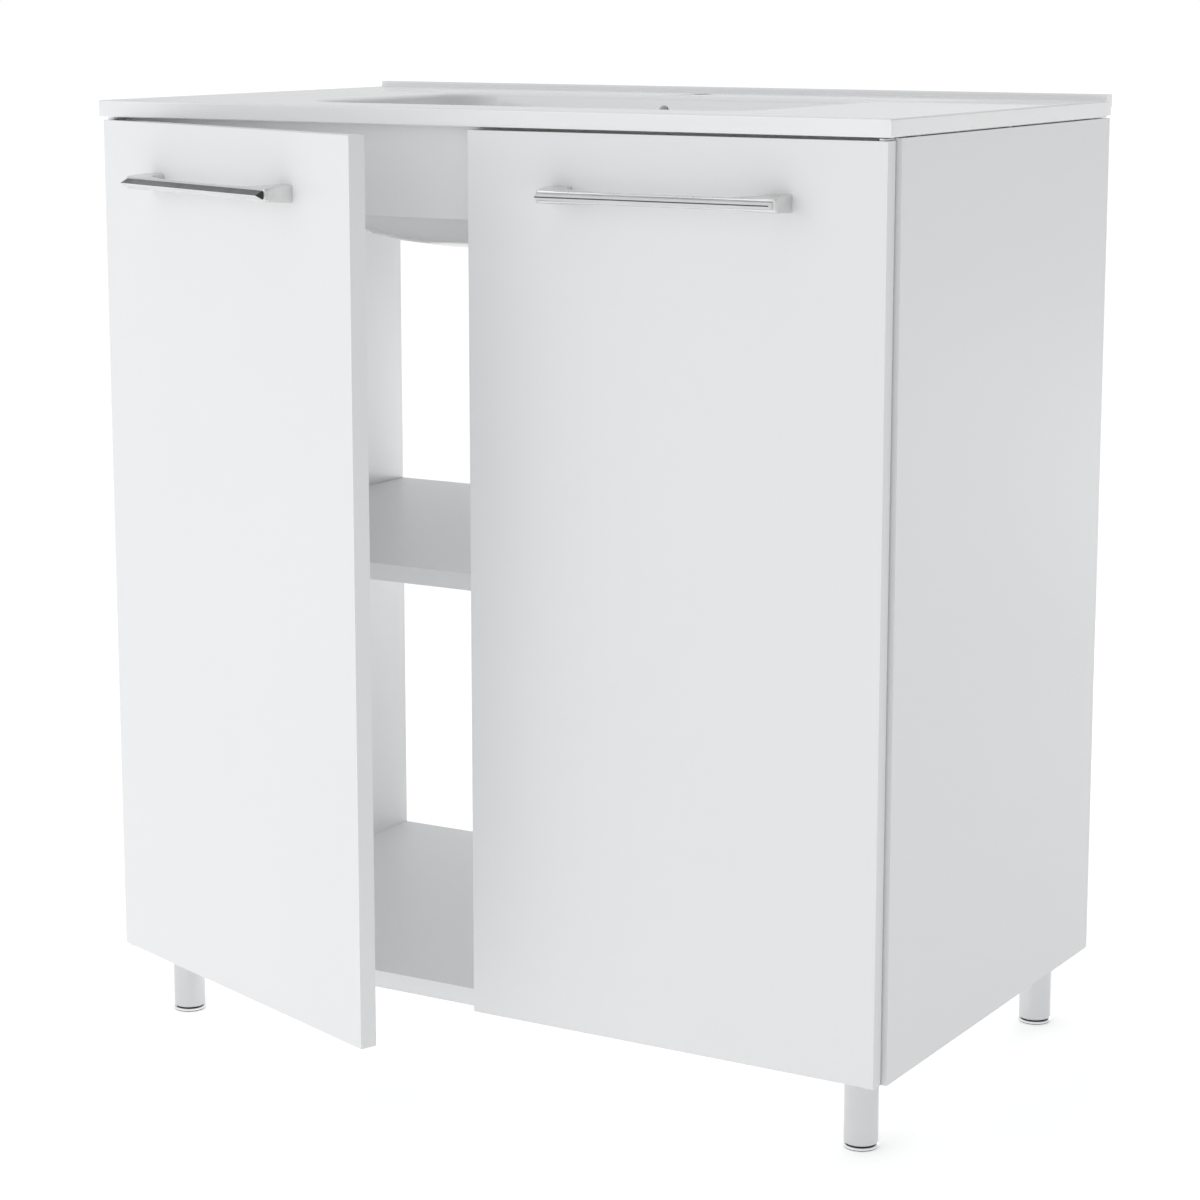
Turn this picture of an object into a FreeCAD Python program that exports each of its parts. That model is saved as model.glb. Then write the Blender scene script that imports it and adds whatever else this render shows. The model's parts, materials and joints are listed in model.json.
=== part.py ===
import FreeCAD, Part
import Sketcher
import math
import os
import re

# Bathroom vanity cabinet: a one-piece washbasin top on a white two-door cabinet
# with an open back, on four round legs with levelling feet.
# Frame: X across (right as seen from the front), Y from the doors to the wall, Z up.
# The origin is on the floor, under the middle of the whole piece as it stands,
# with its left door ajar.

doc = FreeCAD.newDocument("bathroom_vanity")
sizes = doc.addObject("Spreadsheet::Sheet", "sizes")


def driving(name, value, meaning):
    """One row of the sheet: the name, its number and what it means."""
    row = driving.row = getattr(driving, "row", 0) + 1
    sizes.set("A%d" % row, meaning)
    sizes.set("B%d" % row, str(value))
    sizes.setAlias("B%d" % row, name)


# ---------------------------------------------------------------- basin top
driving("basin_side_overhang", 0, "slab outside the side panels")
driving("basin_depth", 470, "washbasin, front edge to wall edge")
driving("deck_height", 875, "floor to the basin's deck")
driving("slab_thickness", 15, "thickness of the basin's slab")
driving("basin_overhang", 2.5, "slab in front of the closed doors")
driving("slab_edge", 1.5, "rounding of the slab's edges")
driving("lip_height", 5.5, "raised lip along the wall edge")
driving("lip_thickness", 12, "lip, front to back")
driving("bowl_width", 450, "bowl opening, across")
driving("bowl_depth", 274, "bowl opening, front to back")
driving("bowl_front", 72, "slab's front edge to the bowl")
driving("bowl_corner", 45, "radius of the bowl's corners")
driving("bowl_drop", 125, "deck to the bowl's floor")
driving("bowl_wall", 10, "thickness of the bowl's shell")
driving("drain_radius", 23, "waste outlet in the bowl's floor")
driving("drain_collar", 9, "wall of the collar round the outlet")
driving("drain_length", 42, "bowl floor to the collar's lower end")
driving("tap_radius", 11, "tap hole, for a half-inch tail")
driving("tap_setback", 48, "tap hole's centre to the wall edge")
driving("overflow_radius", 5, "overflow hole")
driving("overflow_drop", 14, "deck to the overflow hole's centre")
driving("duct_width", 24, "overflow duct, across")
driving("duct_depth", 8, "overflow duct, the narrow way")
driving("duct_wall", 5, "wall round the overflow duct")
driving("pad_thickness", 1, "seat pads between cabinet and basin")
driving("pad_radius", 6, "radius of a seat pad")

# ---------------------------------------------------------------- carcass
driving("carcass_width", 800, "cabinet, outside of the side panels")
driving("board", 16, "thickness of the carcass boards")
driving("carcass_bottom", 71, "floor to the cabinet's underside")
driving("wall_clearance", 4.5, "carcass behind the slab's wall edge")
driving("rail_height", 80, "front and rear top rails")
driving("shelf_top", 464, "floor to the shelf's top")
driving("shelf_setback", 20, "shelf behind the carcass front")
driving("shelf_play", 0.5, "play at each end of the shelf")
driving("pin_radius", 2.5, "shelf pins")
driving("pin_seat", 8, "shelf pin, depth in the panel")
driving("pin_reach", 9, "shelf pin, out of the panel")
driving("pin_inset", 45, "shelf pins from the shelf's edges")
driving("wall_hole_radius", 4, "wall fixing holes in the rear rail")
driving("wall_hole_spacing", 600, "wall fixing holes, apart")
driving("dowel_radius", 4, "wooden dowels")
driving("dowel_length", 32, "wooden dowels")
driving("dowel_seat", 10, "dowel, depth in the side panel")
driving("cam_radius", 7.5, "cam of a cam fitting")
driving("cam_height", 12, "cam of a cam fitting")
driving("cam_setback", 24, "cam's centre from the board's end")
driving("bolt_radius", 3, "cam bolt")
driving("bolt_seat", 11, "cam bolt, depth in the side panel")
driving("bolt_play", 0.5, "cam bolt's end to its cam")
driving("joint_inset", 75, "outer dowels from the board's edge")
driving("joint_step", 32, "dowel to cam fitting")

# ---------------------------------------------------------------- doors
driving("door_thickness", 16, "door boards")
driving("door_gap", 2, "closed door in front of the carcass")
driving("door_inset", 4, "door's edge inside the cabinet's side")
driving("centre_gap", 2, "gap between the two doors")
driving("hinge_edge", 2.5, "rounding of a door's rear hinge edge")
driving("ajar", 20.4, "left door as it stands, degrees open")
driving("pivot_inset", 6.5, "pivot axis from the door's edge")
driving("pivot_setback", 7, "pivot axis behind the door's face")
driving("leaf_thickness", 1.5, "pivot plate")
driving("leaf_width", 10, "pivot plate")
driving("leaf_seat", 46, "pivot plate, length on the panel")
driving("door_lift", 0.5, "play between pivot plate and door")
driving("pivot_radius", 2.5, "pivot pin")
driving("pivot_reach", 14, "pivot pin, into the door")
driving("pivot_play", 0.05, "pin in its bush, radial")
driving("bush_wall", 1.25, "wall of a pivot bush")
driving("bush_length", 16, "pivot bush")
driving("screw_radius", 1.75, "wood screws, shank")
driving("screw_head", 3.4, "wood screws, head radius")
driving("screw_length", 18, "wood screws, under the head")
driving("screw_step", 20, "screws of a pivot plate, apart")
driving("screw_inset", 13, "first screw from the panel's front")
driving("bumper_radius", 4, "bumper pads on the doors")
driving("bumper_thickness", 1.6, "bumper pads on the doors")
driving("bumper_inset", 12, "bumper pads from the door's free edge")
driving("bumper_drop", 8, "bumper pads from the door's ends")

# ---------------------------------------------------------------- handles
driving("handle_length", 227, "bow handle, overall")
driving("handle_drop", 52, "door's top to the handle's middle")
driving("foot_width", 20, "handle foot on the door, across")
driving("foot_height", 15, "handle foot on the door, up")
driving("bar_height", 10, "handle's bar, up")
driving("bar_thickness", 8, "handle's bar, front to back")
driving("bar_back", 20, "door's face to the back of the bar")
driving("strip_height", 7.5, "chrome strip, up")
driving("strip_reach", 7, "chrome strip, out of the bar")
driving("strip_inset", 3, "chrome strip from the handle's ends")
driving("handle_screw_radius", 2, "handle screws, M4")
driving("handle_screw_play", 0.15, "handle screw in the door, radial")
driving("handle_screw_grip", 10, "handle screw, into the foot")
driving("handle_head_radius", 4, "handle screw's head")
driving("handle_head_height", 2.4, "handle screw's head")
driving("counterbore", 3, "counterbore for the handle screws")

# ---------------------------------------------------------------- legs
driving("leg_radius", 15, "leg tube")
driving("leg_wall", 2, "leg tube's wall")
driving("leg_front_inset", 51.5, "front legs' axis behind the door's face")
driving("leg_rear_inset", 30, "rear legs' axis from the carcass rear")
driving("leg_flange", 7, "leg plate outside the tube")
driving("leg_plate_margin", 1, "leg plate to the side panel")
driving("leg_plate_thickness", 2.5, "plate that holds a leg")
driving("spigot_length", 12, "spigot of the plate in the tube")
driving("plate_screw_offset", 3.2, "screws of a leg plate, outside the tube")
driving("plate_screw_radius", 1.5, "screws of a leg plate, shank")
driving("plate_screw_head", 2.8, "screws of a leg plate, head radius")
driving("plate_screw_length", 10, "screws of a leg plate")
driving("foot_ring", 3, "chrome ring of a levelling foot")
driving("foot_groove", 1.4, "groove between ring and tube")
driving("neck_play", 0.5, "foot's neck in the tube, radial")
driving("foot_neck", 17, "foot's neck, above the ring")
driving("stem_radius", 4.9, "foot's threaded stem")
driving("stem_play", 0.1, "stem in its plug, radial")
driving("stem_length", 22, "foot's stem, above the neck")
driving("stop_gap", 0.3, "neck below its plug")
driving("plug_height", 12, "plug in the leg tube")

# ---------------------------------------------------------------- worked out from these
driving("basin_width", "=carcass_width + 2 * basin_side_overhang", "washbasin, across")
driving("door_width", "=(carcass_width - 2 * door_inset - centre_gap) / 2", "a door")
driving(
    "reach",
    "=(door_width - pivot_inset) * sin(ajar * 1 deg)"
    " - pivot_setback * (1 - cos(ajar * 1 deg))",
    "ajar door in front of the closed one",
)
driving(
    "front_plane",
    "=-(basin_depth - basin_overhang - reach) / 2",
    "closed doors' front face, in Y",
)
driving("slab_front", "=front_plane - basin_overhang", "slab's front edge, in Y")
driving("slab_rear", "=slab_front + basin_depth", "slab's wall edge, in Y")
driving("carcass_front", "=front_plane + door_thickness + door_gap", "in Y")
driving("carcass_rear", "=slab_rear - wall_clearance", "in Y")
driving("carcass_depth", "=carcass_rear - carcass_front", "side panels, in Y")
driving("slab_bottom", "=deck_height - slab_thickness", "slab's underside, in Z")
driving("carcass_top", "=slab_bottom - pad_thickness", "in Z")
driving("carcass_height", "=carcass_top - carcass_bottom", "side panels, in Z")
driving("inner_width", "=carcass_width - 2 * board", "between the side panels")
driving("door_bottom", "=carcass_bottom + leaf_thickness + door_lift", "in Z")
driving("door_top", "=carcass_top - leaf_thickness - door_lift", "in Z")
driving("pivot_across", "=carcass_width / 2 - door_inset - pivot_inset", "in X")
driving("pivot_y", "=front_plane + pivot_setback", "pivot axes, in Y")
driving("handle_z", "=door_top - handle_drop", "handle's middle, in Z")
driving("handle_pitch", "=handle_length - foot_width", "handle screws, apart")
driving("bowl_y", "=slab_front + bowl_front + bowl_depth / 2", "bowl's middle, in Y")
driving("bowl_floor", "=deck_height - bowl_drop", "in Z")
driving("tube_bottom", "=foot_ring + foot_groove", "leg tube's lower end, in Z")
driving("leg_plate_radius", "=leg_radius + leg_flange", "plate that holds a leg")
driving("plate_screw_circle", "=leg_radius + plate_screw_offset", "screws, circle radius")
driving("leg_side_inset", "=board + leg_plate_margin + leg_plate_radius", "leg's axis, from the side")
driving("leg_across", "=carcass_width / 2 - leg_side_inset", "leg axes, in X")
driving("foot_neck_radius", "=leg_radius - leg_wall - neck_play", "foot's neck")
driving("front_leg_y", "=front_plane + leg_front_inset", "in Y")
driving("rear_leg_y", "=carcass_rear - leg_rear_inset", "in Y")
driving("plug_bottom", "=foot_ring + foot_neck + stop_gap", "plug in the tube, in Z")
doc.recompute()

ALIASES = re.compile(r"\b([a-z]+(?:_[a-z]+)*)\b")


def ref(expression):
    """Names of the sheet's rows, written as FreeCAD expects them in an expression."""

    def one(match):
        word = match.group(1)
        return "sizes." + word if sizes.getCellFromAlias(word) else word

    return ALIASES.sub(one, str(expression))


def size(expression):
    """The present value of an expression in the sheet's names, for sketch geometry."""
    names = {w: float(sizes.get(w)) for w in ALIASES.findall(expression)
             if sizes.getCellFromAlias(w)}
    total = expression
    for word in sorted(names, key=len, reverse=True):
        total = re.sub(r"\b%s\b" % word, "(%.9f)" % names[word], total)
    return FreeCAD.Units.parseQuantity(total).Value


def bind(thing, **expressions):
    for prop, expression in expressions.items():
        thing.setExpression(prop, ref(expression))
    return thing


def move(thing, x="0", y="0", z="0"):
    for axis, expression in zip("xyz", (x, y, z)):
        thing.setExpression(".Placement.Base." + axis, ref(expression))
    return thing


def block(length, width, height, x, y, z):
    """A box given by its size and its lowest corner."""
    box = doc.addObject("Part::Box", "block")
    bind(box, Length=length, Width=width, Height=height)
    return move(box, x, y, z)


def rod(radius, length, x, y, z, along="Z"):
    """A cylinder that starts at a point and runs up, back or to the right."""
    bar = doc.addObject("Part::Cylinder", "rod")
    bind(bar, Radius=radius, Height=length)
    turns = {"X": ((0, 1, 0), 90), "Y": ((1, 0, 0), -90), "Z": ((0, 0, 1), 0)}
    axis, angle = turns[along]
    bar.Placement.Rotation = FreeCAD.Rotation(FreeCAD.Vector(*axis), angle)
    return move(bar, x, y, z)


def cone(start_radius, end_radius, length, x, y, z, down=False):
    head = doc.addObject("Part::Cone", "cone")
    bind(head, Radius1=start_radius, Radius2=end_radius, Height=length)
    if down:
        head.Placement.Rotation = FreeCAD.Rotation(FreeCAD.Vector(1, 0, 0), 180)
    return move(head, x, y, z)


def fuse(*pieces):
    joined = doc.addObject("Part::MultiFuse", "joined")
    joined.Shapes = list(pieces)
    return joined


def cut(base, *tools):
    rest = doc.addObject("Part::Cut", "rest")
    rest.Base = base
    rest.Tool = tools[0] if len(tools) == 1 else fuse(*tools)
    return rest


def together(pieces):
    """Identical fasteners: separate solids in one sub-part."""
    lot = doc.addObject("Part::Compound", "lot")
    lot.Links = list(pieces)
    return lot


SUB_PARTS = []


def sub_part(thing, name):
    thing.Label = name
    SUB_PARTS.append(thing)
    return thing


def origin_plane(body, role):
    return next(f for f in body.Origin.OriginFeatures if f.Role == role)


def outline(body, plane, points, limits):
    """A closed polygon sketch; limits bind its corners: (corner, "X" or "Y", expression)."""
    sketch = body.newObject("Sketcher::SketchObject", "outline")
    sketch.AttachmentSupport = [(origin_plane(body, plane), "")]
    sketch.MapMode = "FlatFace"
    corners = [FreeCAD.Vector(size(x), size(y), 0) for x, y in points]
    count = len(corners)
    for i in range(count):
        sketch.addGeometry(Part.LineSegment(corners[i], corners[(i + 1) % count]))
    for i in range(count):
        sketch.addConstraint(Sketcher.Constraint("Coincident", i, 2, (i + 1) % count, 1))
    for number, (corner, axis, expression) in enumerate(limits):
        value = corners[corner][0 if axis == "X" else 1]
        sketch.addConstraint(
            Sketcher.Constraint("Distance" + axis, -1, 1, corner, 1, value))
        name = "limit%d" % number
        sketch.renameConstraint(sketch.ConstraintCount - 1, name)
        sketch.setExpression("Constraints." + name, ref(expression))
    return sketch


def polygon_limits(points):
    return [(i, axis, value) for i, point in enumerate(points)
            for axis, value in zip("XY", point)]


def board(name, across, depth, height, x, y, z, edge=None, upright=True):
    """A board as a body: a rectangle drawn flat, padded upwards. Where edge is given, the
    upright edges, or the level ones, that it picks by their middle are rounded."""
    body = doc.addObject("PartDesign::Body", name + "_board")
    points = [("0", "0"), (across, "0"), (across, depth), ("0", depth)]
    limits = [(1, "X", across), (1, "Y", "0"), (2, "X", across), (2, "Y", depth),
              (3, "X", "0"), (3, "Y", depth), (0, "X", "0"), (0, "Y", "0")]
    sketch = outline(body, "XY_Plane", points, limits)
    pad = body.newObject("PartDesign::Pad", "thickness")
    pad.Profile = sketch
    pad.setExpression("Length", ref(height))
    doc.recompute()
    if edge:
        where, radius = edge
        names = ["Edge%d" % (i + 1) for i, e in enumerate(pad.Shape.Edges)
                 if (e.BoundBox.ZLength > 1) == upright and where(e.BoundBox.Center)]
        rounding = body.newObject("PartDesign::Fillet", "rounding")
        rounding.Base = (pad, names)
        rounding.setExpression("Radius", ref(radius))
        doc.recompute()
    return move(body, x, y, z)


SIDES = (("left", -1), ("right", 1))


def from_side(side, inset, length="0"):
    """X of a piece that starts inset from the cabinet's outer face on that side."""
    if side < 0:
        return "-carcass_width / 2 + (%s)" % inset
    return "carcass_width / 2 - (%s) - (%s)" % (inset, length)


# ================================================================ basin top
# Glazed fireclay, cast in one piece: a flat slab with a lip at the wall, a bowl that
# hangs through the cabinet's top, an outlet collar and an overflow duct behind the bowl.

# Each level of the bowl: share of its depth, how far the wall has come in across and
# front to back, and its corner radius. The floor is the last level.
BOWL_LEVELS = (
    (0.00, 0, 0, 1.0),
    (0.55, 6, 5, 1.0),
    (0.78, 22, 16, 1.1),
    (0.90, 52, 36, 1.1),
    (0.965, 98, 64, 1.0),
    (1.00, 150, 98, 0.65),
)


def rounded_rectangle(width, depth, corner, y, z):
    """A closed wire: four straight sides and four corner arcs."""
    half_x, half_y = width / 2 - corner, depth / 2 - corner
    slant = corner * math.sqrt(0.5)
    edges = []
    centres = ((half_x, half_y), (-half_x, half_y), (-half_x, -half_y), (half_x, -half_y))
    starts = ((1, 0), (0, 1), (-1, 0), (0, -1))
    ends = ((0, 1), (-1, 0), (0, -1), (1, 0))
    mids = ((1, 1), (-1, 1), (-1, -1), (1, -1))
    last = None
    first = None
    for centre, start, end, mid in zip(centres, starts, ends, mids):
        a = FreeCAD.Vector(centre[0] + start[0] * corner, y + centre[1] + start[1] * corner, z)
        m = FreeCAD.Vector(centre[0] + mid[0] * slant, y + centre[1] + mid[1] * slant, z)
        b = FreeCAD.Vector(centre[0] + end[0] * corner, y + centre[1] + end[1] * corner, z)
        if last is None:
            first = a
        else:
            edges.append(Part.LineSegment(last, a).toShape())
        edges.append(Part.Arc(a, m, b).toShape())
        last = b
    edges.append(Part.LineSegment(last, first).toShape())
    return Part.Wire(edges)


def bowl_form(name, wall, top_z, floor_z):
    """The bowl's inside (wall 0) or outside, lofted through its levels."""
    corner, y = size("bowl_corner"), size("bowl_y")
    deck, low = top_z, floor_z
    wires = []
    for share, in_x, in_y, corner_share in BOWL_LEVELS:
        width = size("bowl_width") - 2 * in_x + 2 * wall
        depth = size("bowl_depth") - 2 * in_y + 2 * wall
        radius = min(corner * corner_share + wall, 0.49 * width, 0.49 * depth)
        z = deck - share * (deck - low)
        wires.append(rounded_rectangle(width, depth, radius, y, z))
    form = doc.addObject("Part::Feature", name)
    form.Shape = Part.makeLoft(wires, True, False)
    return form


slab_body = board("slab", "basin_width", "basin_depth", "slab_thickness",
                  "-basin_width / 2", "slab_front", "slab_bottom",
                  edge=(lambda c: c.z > 1 and c.y < size("basin_depth") - 1, "slab_edge"),
                  upright=False)
lip = block("basin_width", "lip_thickness", "lip_height + slab_thickness / 2",
            "-basin_width / 2", "slab_rear - lip_thickness", "deck_height - slab_thickness / 2")
bowl_outside = bowl_form("bowl_outside", size("bowl_wall"), size("deck_height - 1"),
                         size("bowl_floor - bowl_wall"))
bowl_inside = bowl_form("bowl_inside", 0, size("deck_height"), size("bowl_floor"))
collar = rod("drain_radius + drain_collar", "drain_length - bowl_wall / 2",
             "0", "bowl_y", "bowl_floor - drain_length")
outlet = rod("drain_radius", "drain_length + 10", "0", "bowl_y",
             "bowl_floor - drain_length - 5")
tap_hole = rod("tap_radius", "slab_thickness + lip_height + 10", "0",
               "slab_rear - tap_setback", "slab_bottom - 5")
# The overflow hole opens into a duct that runs down behind the bowl and forward,
# under its floor, into the outlet collar.
driving("duct_y", "=bowl_y + bowl_depth / 2 + bowl_wall / 2", "duct's front wall, in Y")
driving("duct_low", "=bowl_floor - bowl_wall - duct_wall - duct_depth", "duct's floor, in Z")
doc.recompute()
duct_shell = fuse(
    block("duct_width + 2 * duct_wall", "duct_depth + duct_wall",
          "slab_bottom - duct_low + duct_wall + 1",
          "-duct_width / 2 - duct_wall", "duct_y", "duct_low - duct_wall"),
    block("duct_width + 2 * duct_wall", "duct_y - bowl_y + duct_depth + duct_wall",
          "duct_depth + 2 * duct_wall + 4",
          "-duct_width / 2 - duct_wall", "bowl_y", "duct_low - duct_wall"),
)
duct_bore = fuse(
    block("duct_width", "duct_depth", "deck_height - overflow_drop + overflow_radius - duct_low",
          "-duct_width / 2", "duct_y", "duct_low"),
    block("duct_width", "duct_y - bowl_y + duct_depth - drain_radius / 2", "duct_depth",
          "-duct_width / 2", "bowl_y + drain_radius / 2", "duct_low"),
    rod("overflow_radius", "duct_y - bowl_y - bowl_depth / 2 + 22", "0",
        "bowl_y + bowl_depth / 2 - 20", "deck_height - overflow_drop", along="Y"),
)
basin = cut(fuse(slab_body, lip, bowl_outside, collar, duct_shell),
            bowl_inside, outlet, tap_hole, duct_bore)
sub_part(basin, "basin_top")

pads = []
for _, side in SIDES:
    for share in ("0.08", "0.5", "0.92"):
        pads.append(rod("pad_radius", "pad_thickness",
                        from_side(side, "board / 2"),
                        "carcass_front + carcass_depth * " + share, "carcass_top"))
sub_part(together(pads), "basin_seat_pads")

# ================================================================ carcass
# Lacquered boards. The bottom and the two top rails are held between the side panels
# by a dowel and a cam fitting at each joint, so that no screw shows outside.

# One joint line: (y of the dowel, y of the cam fitting, z of the board's middle).
JOINTS = (
    ("carcass_front + joint_inset", "carcass_front + joint_inset + joint_step",
     "carcass_bottom + board / 2"),
    ("carcass_rear - joint_inset", "carcass_rear - joint_inset - joint_step",
     "carcass_bottom + board / 2"),
)
RAILS = (("front_rail", "carcass_front + board / 2"), ("rear_rail", "carcass_rear - board / 2"))


def dowel(side, y, z, radius="dowel_radius", seat="dowel_seat", length="dowel_length"):
    start = "board - (%s)" % seat
    return rod(radius, length, from_side(side, start, length), y, z, along="X")


def bolt(side, y, z, stop="cam_radius + bolt_play"):
    """Cam bolt: from the side panel to just short of its cam."""
    return dowel(side, y, z, "bolt_radius", "bolt_seat", "bolt_seat + cam_setback - (%s)" % stop)


def bolt_bore(side, y, z):
    """Hole for a cam bolt, open to the hole for its cam."""
    return bolt(side, y, z, "0")


dowels, bolts, cams = [], [], []
panel_bores = {-1: [], 1: []}
bottom_bores, rail_bores = [], {"front_rail": [], "rear_rail": []}
for _, side in SIDES:
    for dowel_y, cam_y, z in JOINTS:
        dowels.append(dowel(side, dowel_y, z))
        bolts.append(bolt(side, cam_y, z))
        cam_x = from_side(side, "board + cam_setback")
        cams.append(rod("cam_radius", "cam_height", cam_x, cam_y, "carcass_bottom"))
        panel_bores[side] += [dowel(side, dowel_y, z), bolt_bore(side, cam_y, z)]
        bottom_bores += [dowel(side, dowel_y, z), bolt_bore(side, cam_y, z),
                         rod("cam_radius", "cam_height", cam_x, cam_y, "carcass_bottom")]
    for rail, rail_y in RAILS:
        dowel_z = "carcass_top - rail_height / 2 + joint_step / 2"
        cam_z = "carcass_top - rail_height / 2 - joint_step / 2"
        inner = "carcass_front + board - cam_height" if rail == "front_rail" else \
            "carcass_rear - board"
        cam_x = from_side(side, "board + cam_setback")
        dowels.append(dowel(side, rail_y, dowel_z))
        bolts.append(bolt(side, rail_y, cam_z))
        cams.append(rod("cam_radius", "cam_height", cam_x, inner, cam_z, along="Y"))
        panel_bores[side] += [dowel(side, rail_y, dowel_z), bolt_bore(side, rail_y, cam_z)]
        rail_bores[rail] += [dowel(side, rail_y, dowel_z), bolt_bore(side, rail_y, cam_z),
                             rod("cam_radius", "cam_height", cam_x, inner, cam_z, along="Y")]
sub_part(together(dowels), "carcass_dowels")
sub_part(together(bolts), "cam_bolts")
sub_part(together(cams), "cam_locks")

SHELF_PIN_ROWS = ("carcass_front + shelf_setback + pin_inset", "carcass_rear - pin_inset")
LEAF_ENDS = (("top", "carcass_top - leaf_thickness", "carcass_top", True),
             ("bottom", "carcass_bottom", "carcass_bottom", False))


def pivot_x(side):
    return "%s * pivot_across" % side


def leaf_screw_rows():
    for step in (0, 1):
        yield "carcass_front + screw_inset + %d * screw_step" % step


def leaf_screw(side, y, outer, down):
    """Countersunk wood screw of a pivot plate, into the end of the side panel."""
    head = cone("screw_head", "screw_radius", "leaf_thickness", pivot_x(side), y, outer, down)
    shank_z = "(%s) - screw_length" % outer if down else outer
    shank = rod("screw_radius", "screw_length", pivot_x(side), y, shank_z)
    return fuse(head, shank)


for name, side in SIDES:
    tools = list(panel_bores[side])
    for row in SHELF_PIN_ROWS:
        tools.append(rod("pin_radius", "pin_seat",
                         from_side(side, "board - pin_seat", "pin_seat"), row,
                         "shelf_top - board - pin_radius", along="X"))
    for _, leaf_z, outer, down in LEAF_ENDS:
        tools.append(block("leaf_width", "leaf_seat + 5", "leaf_thickness",
                           pivot_x(side) + " - leaf_width / 2", "carcass_front - 5", leaf_z))
        for y in leaf_screw_rows():
            tools.append(leaf_screw(side, y, outer, down))
    panel = board(name + "_side", "board", "carcass_depth", "carcass_height",
                  from_side(side, "0", "board"), "carcass_front", "carcass_bottom")
    sub_part(cut(panel, *tools), name + "_side_panel")

# The leg plates lie flush in the underside of the bottom panel.
LEGS = (("front_left", -1, "front_leg_y"), ("front_right", 1, "front_leg_y"),
        ("rear_left", -1, "rear_leg_y"), ("rear_right", 1, "rear_leg_y"))
PLATE_SCREWS = 3


def around(leg_x, leg_y, number, circle):
    """Centre of one of the screws on a leg plate's circle."""
    angle = 90 + 360 * number / PLATE_SCREWS
    x = "%s + (%s) * cos(%g deg)" % (leg_x, circle, angle)
    y = "%s + (%s) * sin(%g deg)" % (leg_y, circle, angle)
    return x, y


def plate_screw(leg_x, leg_y, number):
    x, y = around(leg_x, leg_y, number, "plate_screw_circle")
    return fuse(cone("plate_screw_head", "plate_screw_radius", "plate_screw_radius", x, y,
                     "carcass_bottom"),
                rod("plate_screw_radius", "plate_screw_length", x, y, "carcass_bottom"))


plate_seats = [rod("leg_plate_radius", "leg_plate_thickness", "%d * leg_across" % side, y,
                   "carcass_bottom") for _, side, y in LEGS]
screw_seats = [plate_screw("%d * leg_across" % side, y, number)
               for _, side, y in LEGS for number in range(PLATE_SCREWS)]
bottom = board("bottom", "inner_width", "carcass_depth", "board",
               "-inner_width / 2", "carcass_front", "carcass_bottom")
sub_part(cut(bottom, *(bottom_bores + plate_seats + screw_seats)), "bottom_panel")

shelf = board("shelf", "inner_width - 2 * shelf_play", "carcass_depth - shelf_setback",
              "board", "-inner_width / 2 + shelf_play", "carcass_front + shelf_setback",
              "shelf_top - board")
sub_part(shelf, "middle_shelf")
sub_part(together([rod("pin_radius", "pin_seat + pin_reach",
                       from_side(side, "board - pin_seat", "pin_seat + pin_reach"), row,
                       "shelf_top - board - pin_radius", along="X")
                   for _, side in SIDES for row in SHELF_PIN_ROWS]), "shelf_pins")

front_rail = board("front_rail", "inner_width", "board", "rail_height",
                   "-inner_width / 2", "carcass_front", "carcass_top - rail_height")
sub_part(cut(front_rail, *rail_bores["front_rail"]), "front_rail")
wall_holes = [rod("wall_hole_radius", "board + 10", "%d * wall_hole_spacing / 2" % side,
                  "carcass_rear - board - 5", "carcass_top - rail_height / 2", along="Y")
              for _, side in SIDES]
rear_rail = board("rear_rail", "inner_width", "board", "rail_height",
                  "-inner_width / 2", "carcass_rear - board", "carcass_top - rail_height")
sub_part(cut(rear_rail, *(rail_bores["rear_rail"] + wall_holes)), "rear_rail")

# ================================================================ pivot plates
# Thin steel plates let into the ends of the side panels. Each reaches in front of the
# carcass and carries a pin, on which the door turns.

for name, side in SIDES:
    pins = []
    for end, leaf_z, outer, down in LEAF_ENDS:
        plate = fuse(block("leaf_width", "carcass_front + leaf_seat - pivot_y",
                           "leaf_thickness", pivot_x(side) + " - leaf_width / 2",
                           "pivot_y", leaf_z),
                     rod("leaf_width / 2", "leaf_thickness", pivot_x(side), "pivot_y", leaf_z))
        holes = [rod("pivot_radius", "leaf_thickness", pivot_x(side), "pivot_y", leaf_z)]
        holes += [leaf_screw(side, y, outer, down) for y in leaf_screw_rows()]
        sub_part(cut(plate, *holes), "%s_%s_pivot_plate" % (name, end))
        length = "leaf_thickness + door_lift + pivot_reach"
        pin_z = "(%s) - (%s)" % (outer, length) if down else outer
        pins.append(rod("pivot_radius", length, pivot_x(side), "pivot_y", pin_z))
    sub_part(together(pins), name + "_pivot_pins")
    sub_part(together([leaf_screw(side, y, outer, down)
                       for _, _, outer, down in LEAF_ENDS for y in leaf_screw_rows()]),
             name + "_pivot_screws")

# ================================================================ doors and handles
# Everything on a door is drawn about its pivot axis, with the door's length along X,
# and is then set on the axis and turned to where the door stands.


def on_door(thing, side):
    angle = "-ajar" if side < 0 else "0"
    thing.Placement.Rotation = FreeCAD.Rotation(FreeCAD.Vector(0, 0, 1), 1)
    move(thing, pivot_x(side), "pivot_y", "0")
    thing.setExpression(".Placement.Rotation.Angle", ref(angle))
    return thing


def along_door(side, start, length="0"):
    """X of a piece that starts at a distance from the pivot axis, towards the free edge."""
    return "(%s)" % start if side < 0 else "-(%s) - (%s)" % (start, length)


FREE_EDGE = "door_width - pivot_inset"
DOOR_FACE = "-pivot_setback"
DOOR_BACK = "door_thickness - pivot_setback"
HANDLE_MIDDLE = "door_width / 2 - pivot_inset"
DOOR_ENDS = (("door_top - bush_length", "door_top - bumper_drop"),
             ("door_bottom", "door_bottom + bumper_drop"))

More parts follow.
